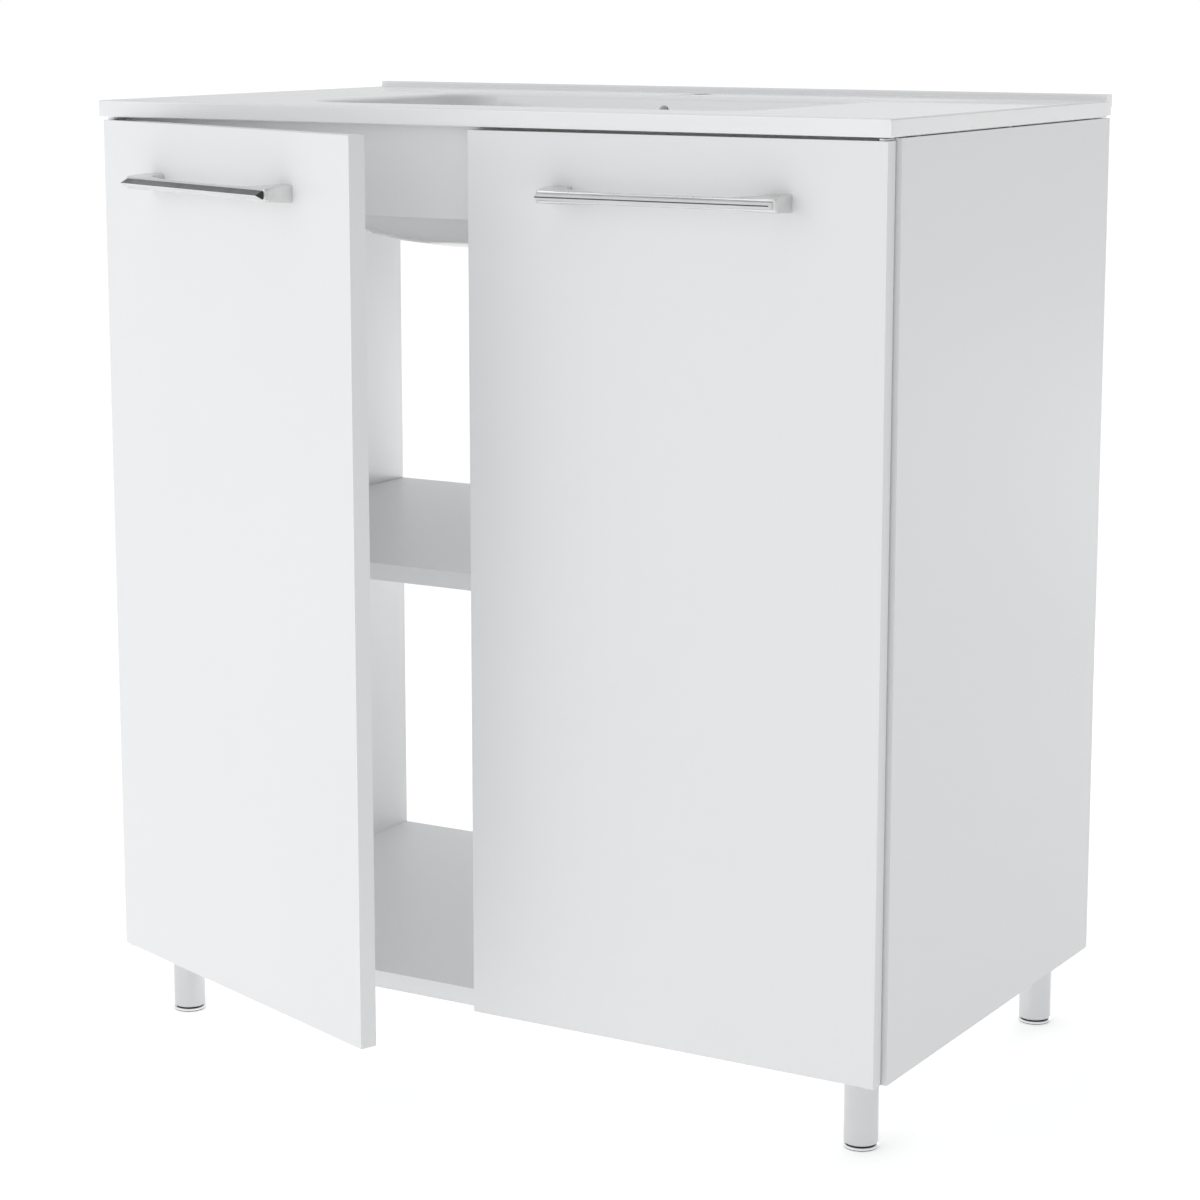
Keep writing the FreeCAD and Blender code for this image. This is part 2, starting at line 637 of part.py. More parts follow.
for name, side in SIDES:
    handle_x = along_door(side, HANDLE_MIDDLE)
    screw_places = ["%s + (%d) * handle_pitch / 2" % (handle_x, end) for end in (-1, 1)]

    # the door: a lacquered board, its rear hinge edge rounded to turn clear of the panel
    hinge_side = 0.0 if side < 0 else size("door_width")
    panel = board(name + "_door", "door_width", "door_thickness", "door_top - door_bottom",
                  along_door(side, "-pivot_inset", "door_width"), DOOR_FACE, "door_bottom",
                  edge=(lambda c, at=hinge_side: abs(c.x - at) < 1 and c.y > 1, "hinge_edge"))
    tools = [rod("pivot_radius + pivot_play + bush_wall", "bush_length", "0", "0", bush_z)
             for bush_z, _ in DOOR_ENDS]
    for x in screw_places:
        tools.append(rod("handle_screw_radius + handle_screw_play", "door_thickness", x,
                         DOOR_FACE, "handle_z", along="Y"))
        tools.append(rod("handle_head_radius + 2 * handle_screw_play", "counterbore", x,
                         DOOR_BACK + " - counterbore", "handle_z", along="Y"))
    sub_part(on_door(cut(panel, *tools), side), name + "_door")

    # nylon bushes in the door's ends, for the pivot pins
    bushes = [cut(rod("pivot_radius + pivot_play + bush_wall", "bush_length", "0", "0", z),
                  rod("pivot_radius + pivot_play", "bush_length", "0", "0", z))
              for z, _ in DOOR_ENDS]
    sub_part(on_door(together(bushes), side), name + "_door_bushes")

    # soft pads that meet the rail and the bottom panel when the door closes
    bumper_x = along_door(side, FREE_EDGE + " - bumper_inset")
    sub_part(on_door(together([rod("bumper_radius", "bumper_thickness", bumper_x, DOOR_BACK,
                                   z, along="Y") for _, z in DOOR_ENDS]), side),
             name + "_door_bumpers")

    # bow handle: a die-cast bar on two feet that widen towards the door
    bar = block("handle_length", "bar_thickness", "bar_height",
                handle_x + " - handle_length / 2", DOOR_FACE + " - bar_back - bar_thickness",
                "handle_z - bar_height / 2")
    feet = []
    for end in (-1, 1):
        foot = doc.addObject("Part::Wedge", "foot")
        outer = "(%d) * handle_length / 2" % end
        inner = "(%d) * (handle_length / 2 - foot_width)" % end
        low, high = (outer, inner) if end < 0 else (inner, outer)
        bind(foot, Ymin="0", Ymax="bar_back + bar_thickness / 2",
             Xmin=low, Xmax=high, X2min=low, X2max=high,
             Zmin="-foot_height / 2", Zmax="foot_height / 2",
             Z2min="-bar_height / 2", Z2max="bar_height / 2")
        foot.Placement.Rotation = FreeCAD.Rotation(FreeCAD.Vector(1, 0, 0), 180)
        feet.append(move(foot, handle_x, DOOR_FACE, "handle_z"))
    threads = [rod("handle_screw_radius", "handle_screw_grip", x,
                   DOOR_FACE + " - handle_screw_grip", "handle_z", along="Y")
               for x in screw_places]
    sub_part(on_door(cut(fuse(bar, *feet), *threads), side), name + "_handle_body")

    # chromed ridge along the front of the bar
    strip = doc.addObject("PartDesign::Body", name + "_strip")
    ridge = [("0", "-strip_height / 2"), ("strip_reach", "0"), ("0", "strip_height / 2")]
    profile = outline(strip, "XZ_Plane", ridge, polygon_limits(ridge))
    run = strip.newObject("PartDesign::Pad", "run")
    run.Profile = profile
    run.setExpression("Length", ref("handle_length - 2 * strip_inset"))
    run.Midplane = True
    set_strip = doc.addObject("Part::Compound", "ridge")
    set_strip.Links = [strip]
    strip.Placement.Rotation = FreeCAD.Rotation(FreeCAD.Vector(0, 0, 1), -90)
    move(strip, handle_x, DOOR_FACE + " - bar_back - bar_thickness", "handle_z")
    sub_part(on_door(set_strip, side), name + "_handle_strip")

    # M4 screws from behind the door, heads sunk below its surface
    screws = []
    for x in screw_places:
        head_y = DOOR_BACK + " - counterbore"
        screws.append(fuse(
            rod("handle_screw_radius", "door_thickness - counterbore + handle_screw_grip", x,
                DOOR_FACE + " - handle_screw_grip", "handle_z", along="Y"),
            rod("handle_head_radius", "handle_head_height", x, head_y, "handle_z", along="Y")))
    sub_part(on_door(together(screws), side), name + "_handle_screws")

# ================================================================ legs
# A plate under the cabinet holds each tube by a spigot. A plug in the tube's lower end
# takes the stem of the levelling foot, which screws down from there.

all_screws = []
plugs = []
for name, side, leg_y in LEGS:
    leg_x = "%d * leg_across" % side
    inner_radius = "leg_radius - leg_wall"
    plate = fuse(rod("leg_plate_radius", "leg_plate_thickness", leg_x, leg_y, "carcass_bottom"),
                 rod(inner_radius, "spigot_length", leg_x, leg_y,
                     "carcass_bottom - spigot_length"))
    own_screws = [plate_screw(leg_x, leg_y, number) for number in range(PLATE_SCREWS)]
    all_screws += [plate_screw(leg_x, leg_y, number) for number in range(PLATE_SCREWS)]
    sub_part(cut(plate, *own_screws), name + "_leg_plate")
    tube = cut(rod("leg_radius", "carcass_bottom - tube_bottom", leg_x, leg_y, "tube_bottom"),
               rod(inner_radius, "carcass_bottom - tube_bottom", leg_x, leg_y, "tube_bottom"))
    sub_part(tube, name + "_leg_tube")
    plugs.append(cut(rod(inner_radius, "plug_height", leg_x, leg_y, "plug_bottom"),
                     rod("stem_radius + stem_play", "plug_height", leg_x, leg_y, "plug_bottom")))
    foot = fuse(rod("leg_radius", "foot_ring", leg_x, leg_y, "0"),
                rod("foot_neck_radius", "foot_neck", leg_x, leg_y, "foot_ring"),
                rod("stem_radius", "stem_length", leg_x, leg_y, "foot_ring + foot_neck"))
    sub_part(foot, name + "_levelling_foot")
sub_part(together(plugs), "leg_plugs")
sub_part(together(all_screws), "leg_plate_screws")

# ================================================================ check and write
doc.recompute()
faults = [thing.Label for thing in doc.Objects
          if "Invalid" in thing.State or "Error" in thing.State]
for part in SUB_PARTS:
    shape = part.Shape
    if shape.isNull() or not shape.isValid() or not shape.Solids or shape.Volume <= 0:
        faults.append(part.Label + " (shape)")
if faults:
    raise RuntimeError("not built: " + ", ".join(faults))

os.makedirs("parts", exist_ok=True)
for part in SUB_PARTS:
    part.Shape.exportStep(os.path.join("parts", part.Label + ".step"))
print(len(SUB_PARTS), "sub-parts,", sum(len(p.Shape.Solids) for p in SUB_PARTS), "solids")
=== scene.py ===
import bpy
import bmesh
import json
import math
from mathutils import Euler, Matrix, Vector


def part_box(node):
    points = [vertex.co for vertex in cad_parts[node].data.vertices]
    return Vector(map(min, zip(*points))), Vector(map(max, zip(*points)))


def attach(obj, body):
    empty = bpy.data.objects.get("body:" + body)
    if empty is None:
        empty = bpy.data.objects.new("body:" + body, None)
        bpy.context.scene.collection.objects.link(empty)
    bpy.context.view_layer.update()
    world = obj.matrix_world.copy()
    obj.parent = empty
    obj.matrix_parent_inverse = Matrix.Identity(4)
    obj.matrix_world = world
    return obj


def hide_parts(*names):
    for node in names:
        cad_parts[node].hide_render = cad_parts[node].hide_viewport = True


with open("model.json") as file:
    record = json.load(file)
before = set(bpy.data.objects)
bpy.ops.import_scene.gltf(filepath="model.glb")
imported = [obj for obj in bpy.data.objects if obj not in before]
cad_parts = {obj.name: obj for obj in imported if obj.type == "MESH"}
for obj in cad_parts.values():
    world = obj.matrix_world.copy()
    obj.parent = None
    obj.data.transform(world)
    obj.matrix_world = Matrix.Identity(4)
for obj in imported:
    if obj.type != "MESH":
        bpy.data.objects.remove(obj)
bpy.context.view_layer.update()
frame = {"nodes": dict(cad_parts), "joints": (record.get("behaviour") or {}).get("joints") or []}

# ---- Carcass boards and doors -------------------------------------------------
# Boards of 16 mm, sprayed all over with white satin lacquer and then cut for their
# fittings. The makers break every edge by hand, so none is quite sharp.

# the slight unevenness of any sprayed, cast or plated surface: clouds of more and less
# gloss, and a fine relief such as orange peel or a blasted grain
unevenness = bpy.data.node_groups.new("surface_unevenness", "ShaderNodeTree")
for name, kind, value in (("Cloud Scale", "NodeSocketFloat", 6.0),
                          ("Gloss Low", "NodeSocketFloat", 0.2),
                          ("Gloss High", "NodeSocketFloat", 0.3),
                          ("Grain Scale", "NodeSocketFloat", 800.0),
                          ("Grain Depth", "NodeSocketFloat", 0.1),
                          ("Stretch", "NodeSocketVector", (1.0, 1.0, 1.0))):
    unevenness.interface.new_socket(name, in_out="INPUT", socket_type=kind).default_value = value
for name, kind in (("Roughness", "NodeSocketFloat"), ("Clouds", "NodeSocketFloat"),
                   ("Relief", "NodeSocketFloat")):
    unevenness.interface.new_socket(name, in_out="OUTPUT", socket_type=kind)
group_in = unevenness.nodes.new("NodeGroupInput")
group_out = unevenness.nodes.new("NodeGroupOutput")
place = unevenness.nodes.new("ShaderNodeTexCoord")
stretch = unevenness.nodes.new("ShaderNodeVectorMath")
stretch.operation = "MULTIPLY"
clouds = unevenness.nodes.new("ShaderNodeTexNoise")
clouds.inputs["Detail"].default_value = 3.0
grain = unevenness.nodes.new("ShaderNodeTexNoise")
grain.inputs["Detail"].default_value = 2.0
gloss = unevenness.nodes.new("ShaderNodeMapRange")
gloss.inputs["From Min"].default_value = 0.3
gloss.inputs["From Max"].default_value = 0.7
depth = unevenness.nodes.new("ShaderNodeMath")
depth.operation = "MULTIPLY"
tie = unevenness.links.new
tie(place.outputs["Object"], clouds.inputs["Vector"])
tie(place.outputs["Object"], stretch.inputs[0])
tie(group_in.outputs["Stretch"], stretch.inputs[1])
tie(stretch.outputs[0], grain.inputs["Vector"])
tie(group_in.outputs["Cloud Scale"], clouds.inputs["Scale"])
tie(group_in.outputs["Grain Scale"], grain.inputs["Scale"])
tie(clouds.outputs["Fac"], gloss.inputs["Value"])
tie(group_in.outputs["Gloss Low"], gloss.inputs["To Min"])
tie(group_in.outputs["Gloss High"], gloss.inputs["To Max"])
tie(grain.outputs["Fac"], depth.inputs[0])
tie(group_in.outputs["Grain Depth"], depth.inputs[1])
tie(gloss.outputs["Result"], group_out.inputs["Roughness"])
tie(clouds.outputs["Fac"], group_out.inputs["Clouds"])
tie(depth.outputs[0], group_out.inputs["Relief"])


def finish(name, dark, light, gloss_range, grain_scale, grain_depth, relief, cloud_scale=6.0,
           stretched=(1, 1, 1), metal=0.0, **sockets):
    """A surface whose colour clouds between two close shades, with gloss and relief to match."""
    material = bpy.data.materials.new(name)
    material.use_nodes = True
    nodes, links = material.node_tree.nodes, material.node_tree.links
    shader = nodes["Principled BSDF"]
    shader.inputs["Metallic"].default_value = metal
    for socket, value in sockets.items():
        shader.inputs[socket.replace("_", " ")].default_value = value
    surface = nodes.new("ShaderNodeGroup")
    surface.node_tree = unevenness
    surface.inputs["Cloud Scale"].default_value = cloud_scale
    surface.inputs["Gloss Low"].default_value = gloss_range[0]
    surface.inputs["Gloss High"].default_value = gloss_range[1]
    surface.inputs["Grain Scale"].default_value = grain_scale
    surface.inputs["Grain Depth"].default_value = grain_depth
    surface.inputs["Stretch"].default_value = stretched
    shades = nodes.new("ShaderNodeValToRGB")
    shades.color_ramp.elements[0].position = 0.35
    shades.color_ramp.elements[0].color = (*dark, 1)
    shades.color_ramp.elements[1].position = 0.65
    shades.color_ramp.elements[1].color = (*light, 1)
    bump = nodes.new("ShaderNodeBump")
    bump.inputs["Distance"].default_value = relief
    bump.inputs["Strength"].default_value = 0.6
    links.new(surface.outputs["Clouds"], shades.inputs["Fac"])
    links.new(shades.outputs["Color"], shader.inputs["Base Color"])
    links.new(surface.outputs["Roughness"], shader.inputs["Roughness"])
    links.new(surface.outputs["Relief"], bump.inputs["Height"])
    links.new(bump.outputs["Normal"], shader.inputs["Normal"])
    return material


white_lacquer = finish("white_satin_lacquer", (0.862, 0.866, 0.870), (0.868, 0.872, 0.876),
                       (0.30, 0.32), 520.0, 0.25, 0.00004, cloud_scale=4.0, IOR=1.5)

# edges sharper than the crease stay crisp, and corners nearer than the weld are one
crease = math.radians(32)
weld = 2e-6


def add_piece(name, mesh, body, slot, *materials):
    """A finished mesh becomes a piece of the object, on the CAD body that it moves with."""
    data = bpy.data.meshes.new(name)
    mesh.to_mesh(data)
    mesh.free()
    data.polygons.foreach_set("use_smooth", [True] * len(data.polygons))
    data.set_sharp_from_angle(angle=crease)
    for material in materials:
        data.materials.append(material)
    piece = bpy.data.objects.new(name, data)
    bpy.context.scene.collection.objects.link(piece)
    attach(piece, body)
    return piece


def eased(node, ending, body, slot, material, radius, steps=2):
    """A machined piece: the node's own shape with its sharp edges taken off."""
    mesh = bmesh.new()
    mesh.from_mesh(frame["nodes"][node].data)
    bmesh.ops.remove_doubles(mesh, verts=mesh.verts, dist=weld)
    bmesh.ops.dissolve_limit(mesh, angle_limit=math.radians(0.8), verts=mesh.verts,
                             edges=mesh.edges)
    sharp = [edge for edge in mesh.edges
             if len(edge.link_faces) == 2 and edge.calc_face_angle(0) > math.radians(40)]
    bmesh.ops.bevel(mesh, geom=sharp, offset=radius, offset_type="OFFSET", segments=steps,
                    profile=0.5, affect="EDGES", clamp_overlap=True)
    bmesh.ops.triangulate(mesh, faces=[f for f in mesh.faces if len(f.verts) > 4])
    piece = add_piece(node + ending, mesh, body, slot, material)
    weights = piece.modifiers.new("flat_faces_stay_flat", "WEIGHTED_NORMAL")
    weights.keep_sharp = True
    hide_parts(node)
    return piece


board_easing, door_easing = 0.0006, 0.0009
for node in ("left_side_panel", "right_side_panel", "bottom_panel", "middle_shelf",
             "front_rail", "rear_rail"):
    eased(node, "_board", "cabinet", "white_lacquered_board", white_lacquer, board_easing, 3)
for side in ("left", "right"):
    eased(side + "_door", "_board", side + "_door_leaf", "white_lacquered_board",
          white_lacquer, door_easing, 3)

# ---- Board joints -------------------------------------------------------------
# Beech dowels are glued at the boards' joints, and zinc cam locks pull them up on steel
# bolts. A cam is turned with a cross-head driver from the hidden face. The real dowels
# are fluted, and these are plain.

beech = finish("raw_beech", (0.50, 0.33, 0.19), (0.66, 0.47, 0.30), (0.55, 0.7), 900.0, 1.0,
               0.0002, cloud_scale=220.0, stretched=(0.06, 1, 1))
zinc_casting = finish("zinc_casting", (0.42, 0.43, 0.45), (0.55, 0.56, 0.58), (0.38, 0.52),
                      1600.0, 1.0, 0.00005, cloud_scale=180.0, metal=1.0)
bright_zinc = finish("bright_zinc_plating", (0.60, 0.62, 0.66), (0.74, 0.75, 0.76),
                     (0.22, 0.34), 1400.0, 0.6, 0.00003, cloud_scale=120.0, metal=1.0)
eased("carcass_dowels", "_fluted", "cabinet", "beech", beech, 0.0010)
eased("cam_bolts", "_turned", "cabinet", "zinc_fitting", bright_zinc, 0.0004)


def separate_solids(node):
    """The corners of each solid in a node that holds a set of like fasteners."""
    mesh = bmesh.new()
    mesh.from_mesh(frame["nodes"][node].data)
    bmesh.ops.remove_doubles(mesh, verts=mesh.verts, dist=weld)
    seen, solids = set(), []
    for first in mesh.verts:
        if first in seen:
            continue
        seen.add(first)
        found = [first]
        for vert in found:
            for edge in vert.link_edges:
                other = edge.other_vert(vert)
                if other not in seen:
                    seen.add(other)
                    found.append(other)
        solids.append([vert.co.copy() for vert in found])
    mesh.free()
    return solids


def head_seat(points, outward):
    """Where the top of a fastener's head lies on its axis."""
    low = Vector([min(p[i] for p in points) for i in range(3)])
    high = Vector([max(p[i] for p in points) for i in range(3)])
    middle = (low + high) / 2
    top = max(p.dot(outward) for p in points)
    return middle + outward * (top - middle.dot(outward))


# one driven fastener: a head with a cross recess on a plain shank, set at each point
driven = bpy.data.node_groups.new("cross_head_fasteners", "GeometryNodeTree")
driven.interface.new_socket("Seats", in_out="INPUT", socket_type="NodeSocketGeometry")
for name, value in (("Head Radius", 0.0034), ("Neck Radius", 0.0018), ("Head Height", 0.0015),
                    ("Shank Radius", 0.0017), ("Shank Length", 0.016),
                    ("Recess Length", 0.0036), ("Recess Width", 0.0008)):
    driven.interface.new_socket(name, in_out="INPUT",
                                socket_type="NodeSocketFloat").default_value = value
driven.interface.new_socket("Finish", in_out="INPUT", socket_type="NodeSocketMaterial")
driven.interface.new_socket("Fasteners", in_out="OUTPUT", socket_type="NodeSocketGeometry")


def driven_node(kind, **inputs):
    """A node of the fastener tree, its sockets set to numbers or tied to other nodes."""
    node = driven.nodes.new(kind)
    for name, source in inputs.items():
        socket = node.inputs[name.replace("_", " ")]
        if isinstance(source, (int, float, tuple)):
            socket.default_value = source
        else:
            driven.links.new(source, socket)
    return node


def driven_maths(operation, first, second):
    """Arithmetic on two numbers or sockets in the fastener tree."""
    node = driven.nodes.new("ShaderNodeMath")
    node.operation = operation
    for place, source in zip(node.inputs, (first, second)):
        if isinstance(source, (int, float)):
            place.default_value = source
        else:
            driven.links.new(source, place)
    return node.outputs[0]


def driven_vector(x, y, z):
    """Three numbers or sockets in the fastener tree as one vector."""
    return driven_node("ShaderNodeCombineXYZ", X=x, Y=y, Z=z).outputs[0]


wanted = driven.nodes.new("NodeGroupInput").outputs
head = driven_node("GeometryNodeMeshCone", Vertices=24, Radius_Top=wanted["Head Radius"],
                   Radius_Bottom=wanted["Neck Radius"], Depth=wanted["Head Height"])
head_placed = driven_node("GeometryNodeTransform", Geometry=head.outputs["Mesh"],
                          Translation=driven_vector(0.0, 0.0, driven_maths(
                              "MULTIPLY", wanted["Head Height"], -1.0)))
shank = driven_node("GeometryNodeMeshCylinder", Vertices=16, Radius=wanted["Shank Radius"],
                    Depth=wanted["Shank Length"])
shank_placed = driven_node("GeometryNodeTransform", Geometry=shank.outputs["Mesh"],
                           Translation=driven_vector(0.0, 0.0, driven_maths(
                               "SUBTRACT",
                               driven_maths("MULTIPLY", wanted["Shank Length"], -0.5),
                               driven_maths("MULTIPLY", wanted["Head Height"], 0.98))))
recess_sizes = wanted["Recess Length"], wanted["Recess Width"]
cross = [driven_node("GeometryNodeMeshCube", Size=driven_vector(*arm, wanted["Head Height"]))
         for arm in (recess_sizes[::-1], recess_sizes)]
recess = driven.nodes.new("GeometryNodeMeshBoolean")
recess.operation = "DIFFERENCE"
driven.links.new(head_placed.outputs["Geometry"], recess.inputs["Mesh 1"])
for arm in cross:
    driven.links.new(arm.outputs["Mesh"], recess.inputs["Mesh 2"])
one_screw = driven.nodes.new("GeometryNodeJoinGeometry")
driven.links.new(shank_placed.outputs["Geometry"], one_screw.inputs["Geometry"])
driven.links.new(recess.outputs["Mesh"], one_screw.inputs["Geometry"])
turn = driven_node("GeometryNodeInputNamedAttribute")
turn.data_type = "FLOAT_VECTOR"
turn.inputs["Name"].default_value = "turn"
as_rotation = driven_node("FunctionNodeEulerToRotation", Euler=turn.outputs["Attribute"])
on_seats = driven_node("GeometryNodeInstanceOnPoints", Points=wanted["Seats"],
                       Instance=one_screw.outputs["Geometry"],
                       Rotation=as_rotation.outputs["Rotation"])
real = driven_node("GeometryNodeRealizeInstances", Geometry=on_seats.outputs["Instances"])
coated = driven_node("GeometryNodeSetMaterial", Geometry=real.outputs["Geometry"],
                     Material=wanted["Finish"])
driven_out = driven.nodes.new("NodeGroupOutput")
driven.links.new(coated.outputs["Geometry"], driven_out.inputs["Fasteners"])


def drive_in(node, ending, body, slot, material, outward_of, **sizes):
    """Sets the real fastener at every solid of a node, its head towards outward_of."""
    seats, turns = [], []
    for number, points in enumerate(separate_solids(node)):
        middle = sum(points, Vector()) / len(points)
        outward = outward_of(middle).normalized()
        seats.append(head_seat(points, outward))
        spin = Matrix.Rotation(0.5 + 1.3 * number, 3, "Z")
        turns.append((outward.to_track_quat("Z", "Y").to_matrix() @ spin).to_euler())
    base = bpy.data.meshes.new(node + "_seats")
    base.from_pydata(seats, [], [])
    attribute = base.attributes.new("turn", "FLOAT_VECTOR", "POINT")
    attribute.data.foreach_set("vector", [value for euler in turns for value in euler])
    carrier = bpy.data.objects.new(node + "_seats", base)
    bpy.context.scene.collection.objects.link(carrier)
    modifier = carrier.modifiers.new("fasteners", "NODES")
    modifier.node_group = driven
    for item in driven.interface.items_tree:
        if item.in_out == "INPUT" and item.name.replace(" ", "_") in sizes:
            modifier[item.identifier] = sizes[item.name.replace(" ", "_")]
        elif item.in_out == "INPUT" and item.name == "Finish":
            modifier[item.identifier] = material
    ready = carrier.evaluated_get(bpy.context.evaluated_depsgraph_get())
    mesh = bmesh.new()
    mesh.from_mesh(bpy.data.meshes.new_from_object(ready))
    bmesh.ops.remove_doubles(mesh, verts=mesh.verts, dist=1e-7)
    bpy.data.objects.remove(carrier)
    piece = add_piece(node + ending, mesh, body, slot, material)
    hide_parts(node)
    return piece


rear_rail_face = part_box("rear_rail")[0].y
shelf_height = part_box("middle_shelf")[0].z


def cam_mouth(middle):
    """A cam opens under the bottom panel, or on a rail's inner face."""
    if middle.z < shelf_height:
        return Vector((0, 0, -1))
    return Vector((0, -1, 0)) if middle.y > rear_rail_face - 0.01 else Vector((0, 1, 0))


drive_in("cam_locks", "_cast", "cabinet", "zinc_fitting", zinc_casting, cam_mouth,
         Head_Radius=0.0073, Neck_Radius=0.0073, Head_Height=0.0112, Shank_Radius=0.004,
         Shank_Length=0.0006, Recess_Length=0.0075, Recess_Width=0.0014)

# ---- Middle shelf's pins ------------------------------------------------------
# Four nickel-plated steel pins, pressed into holes in the side panels, carry the shelf
# on the half that sticks out.

nickel = finish("nickel_plating", (0.58, 0.56, 0.52), (0.68, 0.66, 0.62), (0.16, 0.24), 1500.0,
                0.4, 0.00002, cloud_scale=150.0, metal=1.0)
eased("shelf_pins", "_plated", "cabinet", "zinc_plated_steel", nickel, 0.0006, 3)

# ---- Legs ---------------------------------------------------------------------
# Round steel tubes with a satin nickel finish. Each is pushed over the spigot of a
# screwed plate, and a plastic plug in its lower end takes the threaded foot: a chromed
# ring with a black neck, so a dark line shows between the ring and the tube.

satin_tube = finish("satin_nickel_tube", (0.60, 0.605, 0.61), (0.62, 0.625, 0.63), (0.24, 0.27),
                    700.0, 0.3, 0.00001, cloud_scale=20.0, stretched=(1, 1, 0.05), metal=1.0)
chrome = finish("polished_chrome", (0.80, 0.805, 0.81), (0.86, 0.865, 0.87), (0.03, 0.07),
                900.0, 0.2, 0.00001, cloud_scale=40.0, metal=1.0)
# dark chrome that paints shade and dark reflections onto chrome faces: the lowest edge of each
# foot ring and faces of the handle ridges
shaded_chrome = finish("shaded_chrome", (0.07, 0.073, 0.076), (0.10, 0.103, 0.106), (0.08, 0.14),
                       900.0, 0.3, 0.00001, cloud_scale=60.0, metal=1.0)
black_plastic = finish("black_moulded_plastic", (0.010, 0.010, 0.011), (0.018, 0.018, 0.019),
                       (0.42, 0.55), 2400.0, 1.0, 0.00004, cloud_scale=90.0)


def turned(mesh, profile, x, y, finish_number=0, around=96):
    """A closed ring turned about an upright axis from its half section (radius, height)."""
    rings = []
    for radius, height in profile:
        rings.append([mesh.verts.new((x + radius * math.cos(2 * math.pi * i / around),
                                      y + radius * math.sin(2 * math.pi * i / around), height))
                      for i in range(around)])
    for ring, after in zip(rings, rings[1:] + rings[:1]):
        for i in range(around):
            face = mesh.faces.new((ring[i], ring[(i + 1) % around],
                                   after[(i + 1) % around], after[i]))
            face.material_index = finish_number
    return rings


def turned_solid(mesh, profile, x, y, finish_number=0, around=96):
    """The same, but solid: the half section starts and ends on the axis."""
    rings = turned(mesh, profile[1:-1], x, y, finish_number, around)
    doomed = [f for f in mesh.faces if all(v in set(rings[0]) | set(rings[-1]) for v in f.verts)]
    bmesh.ops.delete(mesh, geom=doomed, context="FACES_ONLY")
    for ring, height, flip in ((rings[0], profile[0][1], True),
                               (rings[-1], profile[-1][1], False)):
        pole = mesh.verts.new((x, y, height))
        for i in range(around):
            corner = (ring[(i + 1) % around], ring[i], pole) if flip else \
                (ring[i], ring[(i + 1) % around], pole)
            mesh.faces.new(corner).material_index = finish_number


tube_wall, tube_edge, ring_top = 0.002, 0.0005, 0.003
neck_radius, neck_top = 0.0125, 0.020
thread_root, thread_crest, thread_pitch = 0.0044, 0.0049, 0.00125
for leg in ("front_left", "front_right", "rear_left", "rear_right"):
    low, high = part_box(leg + "_leg_tube")
    x, y = (low.x + high.x) / 2, (low.y + high.y) / 2
    outer = (high.x - low.x) / 2
    inner = outer - tube_wall
    tube = bmesh.new()
    turned(tube, [(inner, high.z), (outer - tube_edge, high.z), (outer, high.z - tube_edge),
                  (outer, low.z + 0.0012), (outer - 0.0003, low.z + 0.0009),
                  (outer - 0.0003, low.z + 0.0003), (outer - 0.0008, low.z), (inner, low.z)],
           x, y)
    bmesh.ops.recalc_face_normals(tube, faces=tube.faces)
    piece = add_piece(leg + "_leg_satin_tube", tube, "cabinet", "satin_steel_tube", satin_tube)
    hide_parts(leg + "_leg_tube")

    stem_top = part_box(leg + "_levelling_foot")[1].z
    foot = bmesh.new()
    turned_solid(foot, [(0, 0), (outer - 0.0009, 0), (outer - 0.0003, 0.0003),
                        (outer, 0.0009), (outer, ring_top - 0.0006),
                        (outer - 0.0005, ring_top - 0.0001), (outer - 0.0009, ring_top),
                        (0.0126, ring_top), (0, ring_top)], x, y, 0)
    turned_solid(foot, [(0, ring_top - 0.0004), (neck_radius, ring_top - 0.0004),
                        (neck_radius, neck_top), (0.005, neck_top), (0, neck_top)], x, y, 1)
    thread = [(0, neck_top - 0.0004), (thread_root, neck_top - 0.0004)]
    height = neck_top + 0.0006
    while height < stem_top - 0.0012:
        thread += [(thread_root, height), (thread_crest, height + 0.0004),
                   (thread_root, height + 0.0008)]
        height += thread_pitch
    thread += [(0.0042, stem_top), (0, stem_top)]
    turned_solid(foot, thread, x, y, 2, 32)
    # painted shade: the ring's lowest edge gets the dark chrome, standing in for its contact
    # shadow on the floor
    for face in foot.faces:
        middle = face.calc_center_median()
        if middle.z < 0.0007 and math.hypot(middle.x - x, middle.y - y) > outer - 0.001:
            face.material_index = 3
    bmesh.ops.recalc_face_normals(foot, faces=foot.faces)
    piece = add_piece(leg + "_levelling_foot_ring", foot, leg + "_foot", "chromed_foot",
                      chrome, black_plastic, bright_zinc, shaded_chrome)
    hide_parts(leg + "_levelling_foot")
    eased(leg + "_leg_plate", "_pressed", "cabinet", "zinc_plated_steel", bright_zinc, 0.0004)

eased("leg_plugs", "_moulded", "cabinet", "black_plastic", black_plastic, 0.0004)
drive_in("leg_plate_screws", "_cross_head", "cabinet", "zinc_plated_steel", bright_zinc,
         lambda middle: Vector((0, 0, -1)), Head_Radius=0.0028, Neck_Radius=0.0015,
         Head_Height=0.0013, Shank_Radius=0.0014, Shank_Length=0.0085,
         Recess_Length=0.0030, Recess_Width=0.0007)

# ---- Washbasin top ------------------------------------------------------------
# One casting of white glazed fireclay. The flat deck has softly rounded edges, a lip
# along the wall edge with a small cove in front of it, and a bowl whose walls curve into
# a floor that falls to the outlet. The overflow's duct runs down behind the bowl.

glaze = finish("white_glaze", (0.918, 0.920, 0.924), (0.925, 0.928, 0.932), (0.08, 0.12), 140.0,
               0.1, 0.00001, cloud_scale=5.0, IOR=1.52, Coat_Weight=0.6, Coat_Roughness=0.03)

